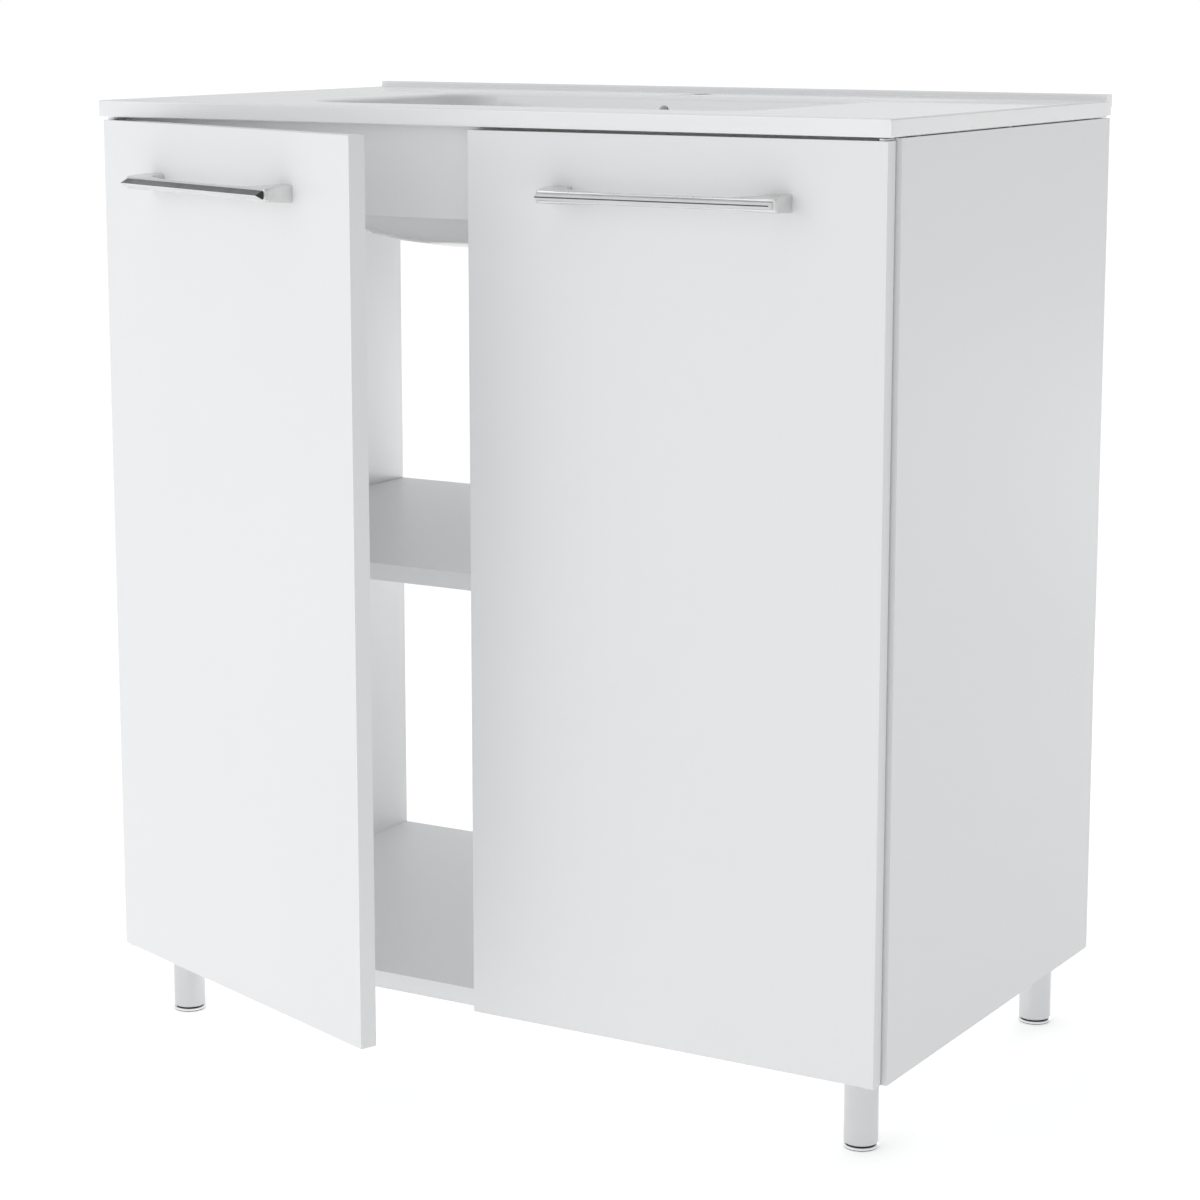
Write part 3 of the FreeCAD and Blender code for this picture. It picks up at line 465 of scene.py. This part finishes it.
slab_low, slab_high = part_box("basin_top")
lip_height, slab_thickness = 0.0055, 0.015
deck = slab_high.z - lip_height
underside = deck - slab_thickness
half_width = (slab_high.x - slab_low.x) / 2
slab_middle = (slab_low.y + slab_high.y) / 2
half_depth = (slab_high.y - slab_low.y) / 2
bowl_half_x, bowl_half_y, bowl_corner = 0.225, 0.137, 0.045
front_deck, bowl_depth, wall = 0.072, 0.125, 0.010
bowl_middle = slab_low.y + front_deck + bowl_half_y
bowl_floor = deck - bowl_depth


def soft_rectangle(half_x, half_y, corner, y, z, steps=64):
    """Points round a rectangle with round corners, evenly spaced in each eighth."""
    corner = min(corner, half_x, half_y)
    arc = corner * math.pi / 2
    up, across = half_y - corner, half_x - corner

    def at(run):
        if run <= up:
            return half_x, run
        if run < up + arc:
            turned_by = (run - up) / corner
            return (across + corner * math.cos(turned_by), up + corner * math.sin(turned_by))
        return across - (run - up - arc), half_y

    first, second = up + arc / 2, arc / 2 + across
    quarter = [at(first * i / steps) for i in range(steps)]
    quarter += [at(first + second * i / steps) for i in range(steps + 1)]
    points = quarter[:-1] + [(-a, b) for a, b in reversed(quarter)][:-1]
    points += [(-a, -b) for a, b in quarter][:-1] + [(a, -b) for a, b in reversed(quarter)][:-1]
    return [Vector((a, y + b, z)) for a, b in points]


# the bowl's section: how far the wall has come in (across, and front to back) at each share
# of its depth, and how round its corners are there
section = ((0.0, 0.0, 0.0, 1.0), (0.30, 0.0030, 0.0026, 1.0), (0.55, 0.0068, 0.0056, 1.0),
           (0.72, 0.0145, 0.011, 1.05), (0.83, 0.028, 0.021, 1.1), (0.90, 0.047, 0.034, 1.12),
           (0.945, 0.073, 0.050, 1.1), (0.972, 0.104, 0.068, 1.0), (0.990, 0.140, 0.089, 0.9),
           (1.0, 0.178, 0.105, 0.71))


def between(a, b, c, d, t):
    """A smooth curve through b and c."""
    return 0.5 * (2 * b + (c - a) * t + (2 * a - 5 * b + 4 * c - d) * t * t
                  + (3 * b - a - 3 * c + d) * t * t * t)


def bowl_levels(steps):
    """The bowl's section with smooth steps between its levels."""
    levels = []
    for i in range(len(section) - 1):
        near = [section[min(max(i + k, 0), len(section) - 1)] for k in (-1, 0, 1, 2)]
        for j in range(steps):
            levels.append([between(*(level[axis] for level in near), j / steps)
                           for axis in range(4)])
    return levels + [list(section[-1])]


lower_edge, upper_edge, slab_corner = 0.0008, 0.0016, 0.0020
rim, rim_margin = 0.0055, 0.003
rings = [soft_rectangle(half_width - lower_edge, half_depth - lower_edge, 0.0012, slab_middle,
                        underside),
         soft_rectangle(half_width, half_depth, slab_corner, slab_middle,
                        underside + lower_edge)]
for i in range(6):
    angle = math.pi / 2 * i / 5
    out = upper_edge * (1 - math.cos(angle))
    rings.append(soft_rectangle(half_width - out, half_depth - out, slab_corner, slab_middle,
                                deck - upper_edge + upper_edge * math.sin(angle)))
rings.append(soft_rectangle(bowl_half_x + rim + rim_margin, bowl_half_y + rim + rim_margin,
                            bowl_corner + rim + rim_margin, bowl_middle, deck))
for i in range(8):
    angle = math.pi / 2 * i / 7
    out = rim * (1 - math.sin(angle))
    rings.append(soft_rectangle(bowl_half_x + out, bowl_half_y + out, bowl_corner + out,
                                bowl_middle, deck - rim * (1 - math.cos(angle))))
top, depth_of_bowl = deck - rim - 0.0008, deck - rim - 0.0008 - bowl_floor
for share, in_x, in_y, roundness in bowl_levels(4):
    rings.append(soft_rectangle(bowl_half_x - in_x, bowl_half_y - in_y, bowl_corner * roundness,
                                bowl_middle, top - share * depth_of_bowl))
outlet, collar = 0.023, 0.032
collar_foot = slab_low.z
for radius, height in ((0.0315, bowl_floor - 0.0002), (0.0305, bowl_floor - 0.0008),
                       (0.0297, bowl_floor - 0.0020), (0.0245, bowl_floor - 0.0040),
                       (0.0234, bowl_floor - 0.0048), (outlet, bowl_floor - 0.0060),
                       (outlet, collar_foot + 0.0010), (outlet + 0.0010, collar_foot),
                       (collar - 0.0010, collar_foot), (collar, collar_foot + 0.0010),
                       (collar, bowl_floor - wall - 0.0040),
                       (collar + 0.0012, bowl_floor - wall - 0.0012),
                       (collar + 0.0040, bowl_floor - wall)):
    rings.append(soft_rectangle(radius, radius, radius, bowl_middle, height))
for share, in_x, in_y, roundness in reversed(bowl_levels(3)):
    height = deck - 0.001 - share * (deck - 0.001 - bowl_floor + wall)
    if height > underside - 0.004:
        break
    if in_x > 0.170:
        continue
    rings.append(soft_rectangle(bowl_half_x - in_x + wall, bowl_half_y - in_y + wall,
                                bowl_corner * roundness + wall, bowl_middle, height))
for out, down in ((0.0006, 0.0028), (0.0018, 0.0010), (0.0040, 0.0)):
    rings.append(soft_rectangle(bowl_half_x + wall + out, bowl_half_y + wall + out,
                                bowl_corner + wall + out, bowl_middle, underside - down))

casting = bmesh.new()
loops = [[casting.verts.new(point) for point in ring] for ring in rings]
count = len(loops[0])
for loop, after in zip(loops, loops[1:] + loops[:1]):
    for i in range(count):
        casting.faces.new((loop[i], loop[(i + 1) % count], after[(i + 1) % count], after[i]))
bmesh.ops.remove_doubles(casting, verts=casting.verts, dist=1e-6)
bmesh.ops.recalc_face_normals(casting, faces=casting.faces)


def helper_solid(name, mesh):
    """A solid that is added to the casting or cut from it, and then thrown away."""
    bmesh.ops.recalc_face_normals(mesh, faces=mesh.faces)
    data = bpy.data.meshes.new(name)
    mesh.to_mesh(data)
    mesh.free()
    solid = bpy.data.objects.new(name, data)
    bpy.context.scene.collection.objects.link(solid)
    return solid


def pulled(mesh, outline, start, end):
    """A closed bar pulled along X from its outline (y, z); the two end faces come first."""
    ends = [[mesh.verts.new((x, y, z)) for y, z in outline] for x in (start, end)]
    faces = [mesh.faces.new(corners) for corners in ends]
    for i in range(len(outline)):
        after = (i + 1) % len(outline)
        faces.append(mesh.faces.new((ends[0][i], ends[0][after], ends[1][after], ends[1][i])))
    return faces


# the lip: a flat top, rounded both ways, with a tight cove down to the deck; its foot is
# sunk in the slab, so that the two join
wall_edge, lip_width, cove = slab_high.y - 0.0001, 0.012, 0.0015
lip_foot, sunk = 0.016, 0.006
lip_line = [(wall_edge - lip_foot, deck - sunk), (wall_edge - lip_foot, deck - 0.0004),
            (wall_edge - 0.0145, deck + 0.0001)]
for i in range(1, 6):
    angle = math.pi / 2 * i / 5
    lip_line.append((wall_edge - lip_width - cove * (1 - math.sin(angle)),
                     deck + 0.0001 + cove * (1 - math.cos(angle))))
for i in range(6):
    angle = math.pi / 2 * i / 5
    lip_line.append((wall_edge - lip_width + cove * (1 - math.cos(angle)),
                     deck + lip_height - cove * (1 - math.sin(angle))))
for i in range(6):
    angle = math.pi / 2 * i / 5
    lip_line.append((wall_edge - cove * (1 - math.sin(angle)),
                     deck + lip_height - cove * (1 - math.cos(angle))))
lip_line.append((wall_edge, deck - sunk))
lip = bmesh.new()
pulled(lip, lip_line, -half_width + 0.0001, half_width - 0.0001)

# the overflow's duct, down behind the bowl and forward to the outlet's collar
duct_half_width, duct_depth, duct_corner, duct_overlap = 0.017, 0.018, 0.004, 0.004
duct_front = bowl_middle + bowl_half_y + wall / 2
duct_rear = bowl_middle + bowl_half_y + duct_depth
duct_mouth = bowl_middle + 0.026
duct_floor = bowl_floor - wall - duct_depth
duct = bmesh.new()
duct_line = [(duct_mouth, duct_floor), (duct_rear - duct_corner, duct_floor),
             (duct_rear, duct_floor + duct_corner), (duct_rear, underside + duct_overlap),
             (duct_front, underside + duct_overlap),
             (duct_front, bowl_floor - wall + duct_overlap),
             (duct_mouth, bowl_floor - wall + duct_overlap)]
pulled(duct, duct_line, -duct_half_width, duct_half_width)
bmesh.ops.recalc_face_normals(duct, faces=duct.faces)
bmesh.ops.bevel(duct, geom=[edge for edge in duct.edges if edge.calc_face_angle(0) > 0.5],
                offset=0.002, segments=3, profile=0.5, affect="EDGES", clamp_overlap=True)

# the tap hole's and the overflow's cutters widen at the glaze, so their rims are round
tap_radius, tap_y, tap_rim = 0.011, slab_high.y - 0.048, 0.0003
tap_cutter = bmesh.new()
flare = [(tap_radius + tap_rim * (1 - math.sin(a)), deck - tap_rim * (1 - math.cos(a)))
         for a in (math.pi / 2 * i / 5 for i in range(6))]
turned_solid(tap_cutter, [(0, deck + 0.01), (tap_radius + tap_rim, deck + 0.01)] + flare +
             [(tap_radius, underside - 0.01), (0, underside - 0.01)], 0.0, tap_y)
overflow_cutter = bmesh.new()
turned_solid(overflow_cutter, [(0, 0.0), (0.005, 0.0), (0.005, 0.019), (0.0056, 0.0206),
                               (0.0066, 0.0216), (0.0066, 0.030), (0, 0.030)], 0.0, 0.0, 0, 48)
bmesh.ops.transform(overflow_cutter, verts=overflow_cutter.verts, matrix=Matrix.Translation(
    (0, bowl_middle + bowl_half_y + 0.0205, deck - 0.014)) @ Matrix.Rotation(
        math.radians(90), 4, "X"))
basin = add_piece("washbasin_casting", casting, "cabinet", "glazed_white", glaze)
for name, mesh, operation in (("lip", lip, "UNION"), ("duct", duct, "UNION"),
                              ("tap_hole", tap_cutter, "DIFFERENCE"),
                              ("overflow", overflow_cutter, "DIFFERENCE")):
    tool = helper_solid(name + "_tool", mesh)
    step = basin.modifiers.new(name, "BOOLEAN")
    step.operation, step.solver, step.object = operation, "EXACT", tool
    ready = basin.evaluated_get(bpy.context.evaluated_depsgraph_get())
    result = bpy.data.meshes.new_from_object(ready)
    basin.modifiers.clear()
    basin.data = result
    bpy.data.objects.remove(tool)
# the tap hole's wall is unglazed clay, and its near-black colour is painted shade for the deep
# hole
clay_with_painted_shade = finish("bare_fireclay", (0.08, 0.077, 0.074), (0.10, 0.097, 0.094), (0.75, 0.85),
                   900.0, 0.7, 0.0001, cloud_scale=60.0)
basin.data.materials.clear()
basin.data.materials.append(glaze)
basin.data.materials.append(clay_with_painted_shade)
for face in basin.data.polygons:
    centre = face.center
    in_tap_hole = math.hypot(centre.x, centre.y - tap_y) < tap_radius + 0.0001
    face.material_index = int(in_tap_hole and underside < centre.z < deck - tap_rim)
basin.data.polygons.foreach_set("use_smooth", [True] * len(basin.data.polygons))
basin.data.set_sharp_from_angle(angle=crease)
weights = basin.modifiers.new("deck_stays_flat", "WEIGHTED_NORMAL")
weights.keep_sharp = True
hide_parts("basin_top")

# Clear rubber pads keep the casting off the panels' upper ends.
clear_rubber = finish("clear_rubber", (0.60, 0.61, 0.61), (0.68, 0.69, 0.69), (0.32, 0.42),
                      1500.0, 0.6, 0.00003, cloud_scale=200.0)
eased("basin_seat_pads", "_rubber", "cabinet", "clear_rubber", clear_rubber, 0.0003)

# ---- Door pivots --------------------------------------------------------------
# Steel plates let into the ends of the side panels carry the pins that the doors turn
# on, in nylon bushes. Countersunk cross-head screws hold each plate.

nylon = finish("natural_nylon", (0.66, 0.66, 0.63), (0.74, 0.74, 0.71), (0.38, 0.48), 1800.0,
               0.8, 0.00003, cloud_scale=120.0)
for side in ("left", "right"):
    for end in ("top", "bottom"):
        eased("%s_%s_pivot_plate" % (side, end), "_stamped", "cabinet", "zinc_plated_steel",
              bright_zinc, 0.0002)
    eased(side + "_pivot_pins", "_ground", "cabinet", "zinc_plated_steel", bright_zinc, 0.0004)
    eased(side + "_door_bushes", "_nylon", side + "_door_leaf", "nylon", nylon, 0.0002)
    eased(side + "_door_bumpers", "_soft", side + "_door_leaf", "clear_rubber", clear_rubber,
          0.0005, 3)
    drive_in(side + "_pivot_screws", "_cross_head", "cabinet", "zinc_plated_steel", bright_zinc,
             lambda middle: Vector((0, 0, 1 if middle.z > 0.4 else -1)), Head_Radius=0.0033,
             Neck_Radius=0.0018, Head_Height=0.0014, Shank_Radius=0.0017, Shank_Length=0.0165,
             Recess_Length=0.0036, Recess_Width=0.0008)

# ---- Bow handles --------------------------------------------------------------
# A zinc casting with a satin nickel finish: a bar on two feet that widen smoothly to the
# door. A polished ridge is set along its front, with a plug at each end: black on the left
# handle and chromed on the right one.

satin_nickel = finish("satin_nickel_casting", (0.70, 0.70, 0.695), (0.76, 0.76, 0.755),
                      (0.26, 0.33), 1500.0, 0.8, 0.00003, cloud_scale=70.0, metal=1.0)
door_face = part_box("right_door")[0].y
handle_low, handle_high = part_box("right_handle_body")
middle_x = (handle_low.x + handle_high.x) / 2
middle_z = (handle_low.z + handle_high.z) / 2
half_length = (handle_high.x - handle_low.x) / 2
swing = next(joint for joint in frame["joints"] if joint["name"] == "left_door_swing")
pivot, ajar = swing["pos_m"], math.radians(-swing["range_deg"][0])

# half of the bar, from the foot to the middle: the foot's outer and inner line as (along
# from the end, off the door) and the height there, in millimetres
stations = ((0.0, 0.0, 20.0, 0.0, 15.0), (0.0, 3.0, 20.0, 3.0, 15.0),
            (0.0, 6.0, 20.3, 6.0, 14.9), (0.0, 9.0, 21.0, 8.9, 14.6),
            (0.0, 12.0, 22.3, 11.6, 14.2), (0.0, 15.0, 24.3, 14.2, 13.7),
            (0.0, 18.0, 27.0, 16.3, 13.1), (0.05, 20.8, 30.2, 18.0, 12.6),
            (0.15, 23.4, 33.8, 19.1, 12.1), (0.5, 25.6, 37.8, 19.7, 11.6),
            (1.3, 27.2, 42.0, 20.0, 11.1), (3.0, 28.0, 47.0, 20.0, 10.6),
            (10.0, 28.0, 52.0, 20.0, 10.2), (24.0, 28.0, 58.0, 20.0, 10.0))
bar_front, bar_depth, bar_height, ridge_inset = 0.028, 0.008, 0.010, 0.003
plain_from, plain_sections = 0.062, 19


def rounded_section(outer_point, inner_point, height, mesh, corner=0.0016, steps=5):
    """A ring round the bar between two points, its four corners rounded."""
    across = inner_point - outer_point
    length = across.length
    across.normalize()
    radius = min(corner, length * 0.3, height * 0.3)
    ring = []
    for quarter, (a, b) in enumerate(((1, 1), (0, 1), (0, 0), (1, 0))):
        centre_a = length - radius if a else radius
        centre_b = height / 2 - radius if b else radius - height / 2
        for i in range(steps + 1):
            angle = math.pi / 2 * (quarter + i / steps)
            ring.append(mesh.verts.new(
                outer_point + across * (centre_a + radius * math.cos(angle))
                + Vector((0, 0, centre_b + radius * math.sin(angle)))))
    return ring


for side, sign in (("left", -1), ("right", 1)):
    # a point (along, off the door, up) of the handle becomes a point on its door
    on_door = Matrix.Translation((sign * middle_x, door_face, middle_z)) @ Matrix.Diagonal(
        (1, -1, 1, 1))
    if side == "left":
        hinge = Matrix.Translation((pivot[0], pivot[1], 0))
        on_door = hinge @ Matrix.Rotation(-ajar, 4, "Z") @ hinge.inverted() @ on_door

    bar = bmesh.new()
    sections = []
    for outer_x, outer_y, inner_x, inner_y, height in stations:
        sections.append((Vector((outer_x / 1000 - half_length, outer_y / 1000, 0)),
                         Vector((inner_x / 1000 - half_length, inner_y / 1000, 0)),
                         height / 1000))
    plain_length = 2 * half_length - 2 * plain_from
    for i in range(plain_sections):
        along = -half_length + plain_from + plain_length * i / (plain_sections - 1)
        sections.append((Vector((along, bar_front, 0)),
                         Vector((along, bar_front - bar_depth, 0)), bar_height))
    for outer_point, inner_point, height in reversed(sections[:len(stations)]):
        sections.append((Vector((-outer_point.x, outer_point.y, 0)),
                         Vector((-inner_point.x, inner_point.y, 0)), height))
    rings = [rounded_section(*one, bar) for one in sections]
    for ring, after in zip(rings, rings[1:]):
        for i in range(len(ring)):
            bar.faces.new((ring[i], ring[(i + 1) % len(ring)],
                           after[(i + 1) % len(ring)], after[i]))
    bar.faces.new(rings[0])
    bar.faces.new(rings[-1])
    bmesh.ops.transform(bar, verts=bar.verts, matrix=on_door)
    bmesh.ops.recalc_face_normals(bar, faces=bar.faces)
    piece = add_piece(side + "_handle_bow", bar, side + "_door_leaf", "satin_nickel",
                      satin_nickel)
    weights = piece.modifiers.new("flat_faces_stay_flat", "WEIGHTED_NORMAL")
    weights.keep_sharp = True
    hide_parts(side + "_handle_body")

    # the ridge: two polished flanks that meet in a fine rounded edge
    ridge = bmesh.new()
    base, reach, fine = 0.00375, 0.0070, 0.0005
    outline = [(0.0, -base), (reach - fine * 2.0, -fine * 1.07),
               (reach - fine * 0.6, -fine * 0.5), (reach, 0.0),
               (reach - fine * 0.6, fine * 0.5), (reach - fine * 2.0, fine * 1.07), (0.0, base)]
    half_ridge, plug, plug_share = half_length - ridge_inset, 0.001, 0.97
    # the faces with a painted reflection, dark chrome standing in for the dark of a room: the
    # left ridge's upper flank with half of its edge, and all of the right one's edge
    painted_reflection_faces = (3, 4, 5) if side == "left" else (1, 2, 3, 4)
    for start, end, number in ((-half_ridge, -half_ridge + plug, 1),
                               (-half_ridge + plug, half_ridge - plug, 0),
                               (half_ridge - plug, half_ridge, 1)):
        share = plug_share if number else 1.0
        faces = pulled(ridge, [(bar_front + y * share, z * share) for y, z in outline],
                       start, end)
        for place, face in enumerate(faces):
            face.material_index = number
            # these faces get the dark chrome as a painted reflection
            if not number and place - 2 in painted_reflection_faces:
                face.material_index = 2
    bmesh.ops.transform(ridge, verts=ridge.verts, matrix=on_door)
    bmesh.ops.recalc_face_normals(ridge, faces=ridge.faces)
    piece = add_piece(side + "_handle_ridge", ridge, side + "_door_leaf", "polished_chrome",
                      chrome, black_plastic if side == "left" else chrome, shaded_chrome)
    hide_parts(side + "_handle_strip")

    behind = (on_door.to_3x3() @ Vector((0, -1, 0))).normalized()
    drive_in(side + "_handle_screws", "_cross_head", side + "_door_leaf", "zinc_plated_steel",
             bright_zinc, lambda middle, away=behind: away, Head_Radius=0.0038,
             Neck_Radius=0.0040, Head_Height=0.0022, Shank_Radius=0.0019, Shank_Length=0.022,
             Recess_Length=0.0044, Recess_Width=0.0010)

# ---- Studio -------------------------------------------------------------------
# A pale floor that runs on into an even white room, a large soft light from the front
# left, a small low lamp behind, and the camera about a metre up, to the right.

floor_finish = finish("pale_studio_floor", (0.90, 0.90, 0.90), (0.915, 0.915, 0.915),
                      (0.75, 0.85), 60.0, 0.3, 0.0001, cloud_scale=0.8)
floor_reach, floor_glow = 30.0, 0.42
floor_mesh = bmesh.new()
bmesh.ops.create_grid(floor_mesh, x_segments=2, y_segments=2, size=floor_reach)
floor_shader = floor_finish.node_tree.nodes["Principled BSDF"]
floor_shader.inputs["Emission Color"].default_value = (1, 1, 1, 1)
floor_shader.inputs["Emission Strength"].default_value = floor_glow
floor_data = bpy.data.meshes.new("studio_floor")
floor_mesh.to_mesh(floor_data)
floor_mesh.free()
floor_data.materials.append(floor_finish)
floor = bpy.data.objects.new("studio_floor", floor_data)
bpy.context.scene.collection.objects.link(floor)

room = bpy.data.worlds.new("white_room")
bpy.context.scene.world = room
room.use_nodes = True
room_nodes, room_links = room.node_tree.nodes, room.node_tree.links
ambient = room_nodes["Background"]
ambient.inputs["Color"].default_value = (0.985, 0.992, 1.0, 1)
seen = room_nodes.new("ShaderNodeBackground")
seen.inputs["Color"].default_value = (1, 1, 1, 1)
seen.inputs["Strength"].default_value = 1.0
path = room_nodes.new("ShaderNodeLightPath")
either = room_nodes.new("ShaderNodeMixShader")
room_links.new(path.outputs["Is Camera Ray"], either.inputs["Fac"])
room_links.new(ambient.outputs["Background"], either.inputs[1])
room_links.new(seen.outputs["Background"], either.inputs[2])
room_links.new(either.outputs["Shader"], room_nodes["World Output"].inputs["Surface"])
# the room is darkest on the right, a little darker all round, and bright above: each
# screen has the way it lies, where its shade starts and ends, and the light that it leaves
facing = room_nodes.new("ShaderNodeTexCoord")
light_left = None
for towards, near, far, least in (((1.0, 0.0, 0.0), -0.10, 0.75, 0.32),
                                  ((0.1, -1.0, 0.05), 0.10, 0.95, 0.78),
                                  ((-0.1, 1.0, 0.05), 0.10, 0.95, 0.90),
                                  ((-1.0, 0.1, 0.0), 0.10, 0.95, 0.72)):
    aim = room_nodes.new("ShaderNodeVectorMath")
    aim.operation = "DOT_PRODUCT"
    aim.inputs[1].default_value = Vector(towards).normalized()
    screen = room_nodes.new("ShaderNodeMapRange")
    screen.interpolation_type = "SMOOTHSTEP"
    for socket, value in (("From Min", near), ("From Max", far), ("To Min", 1.0),
                          ("To Max", least)):
        screen.inputs[socket].default_value = value
    room_links.new(facing.outputs["Generated"], aim.inputs[0])
    room_links.new(aim.outputs["Value"], screen.inputs["Value"])
    if light_left is None:
        light_left = screen.outputs["Result"]
        continue
    both = room_nodes.new("ShaderNodeMath")
    both.operation = "MULTIPLY"
    room_links.new(screen.outputs["Result"], both.inputs[0])
    room_links.new(light_left, both.inputs[1])
    light_left = both.outputs[0]
room_links.new(light_left, ambient.inputs["Strength"])


def soft_light(name, place, towards, width, height, watts):
    """A rectangular lamp that faces a point."""
    lamp = bpy.data.lights.new(name, "AREA")
    lamp.shape = "RECTANGLE"
    lamp.size, lamp.size_y = width, height
    lamp.energy = watts
    holder = bpy.data.objects.new(name, lamp)
    holder.location = place
    holder.rotation_euler = (Vector(towards) - Vector(place)).to_track_quat("-Z", "Y").to_euler()
    bpy.context.scene.collection.objects.link(holder)
    return holder


soft_light("key_front_left", (-2.4, -3.4, 2.0), (0, 0, 0.45), 2.6, 2.2, 16)
low_lamp = soft_light("low_behind", (0.32, 2.1, 0.25), (-0.3, 0, 0.45), 0.6, 0.4, 7)
low_lamp.visible_camera = False

azimuth, tilt = math.radians(30.55), math.radians(10.11)
lens = bpy.data.cameras.new("camera")
lens.sensor_width = 36.0
lens.lens = 93.2
lens.shift_y = -0.05
camera = bpy.data.objects.new("camera", lens)
camera.location = (1.45386, -2.40558, 0.97766)
camera.rotation_euler = Euler((math.pi / 2 - tilt, 0, azimuth))
bpy.context.scene.collection.objects.link(camera)
bpy.context.scene.camera = camera
bpy.context.scene.view_settings.view_transform = "Standard"

bpy.context.view_layer.update()
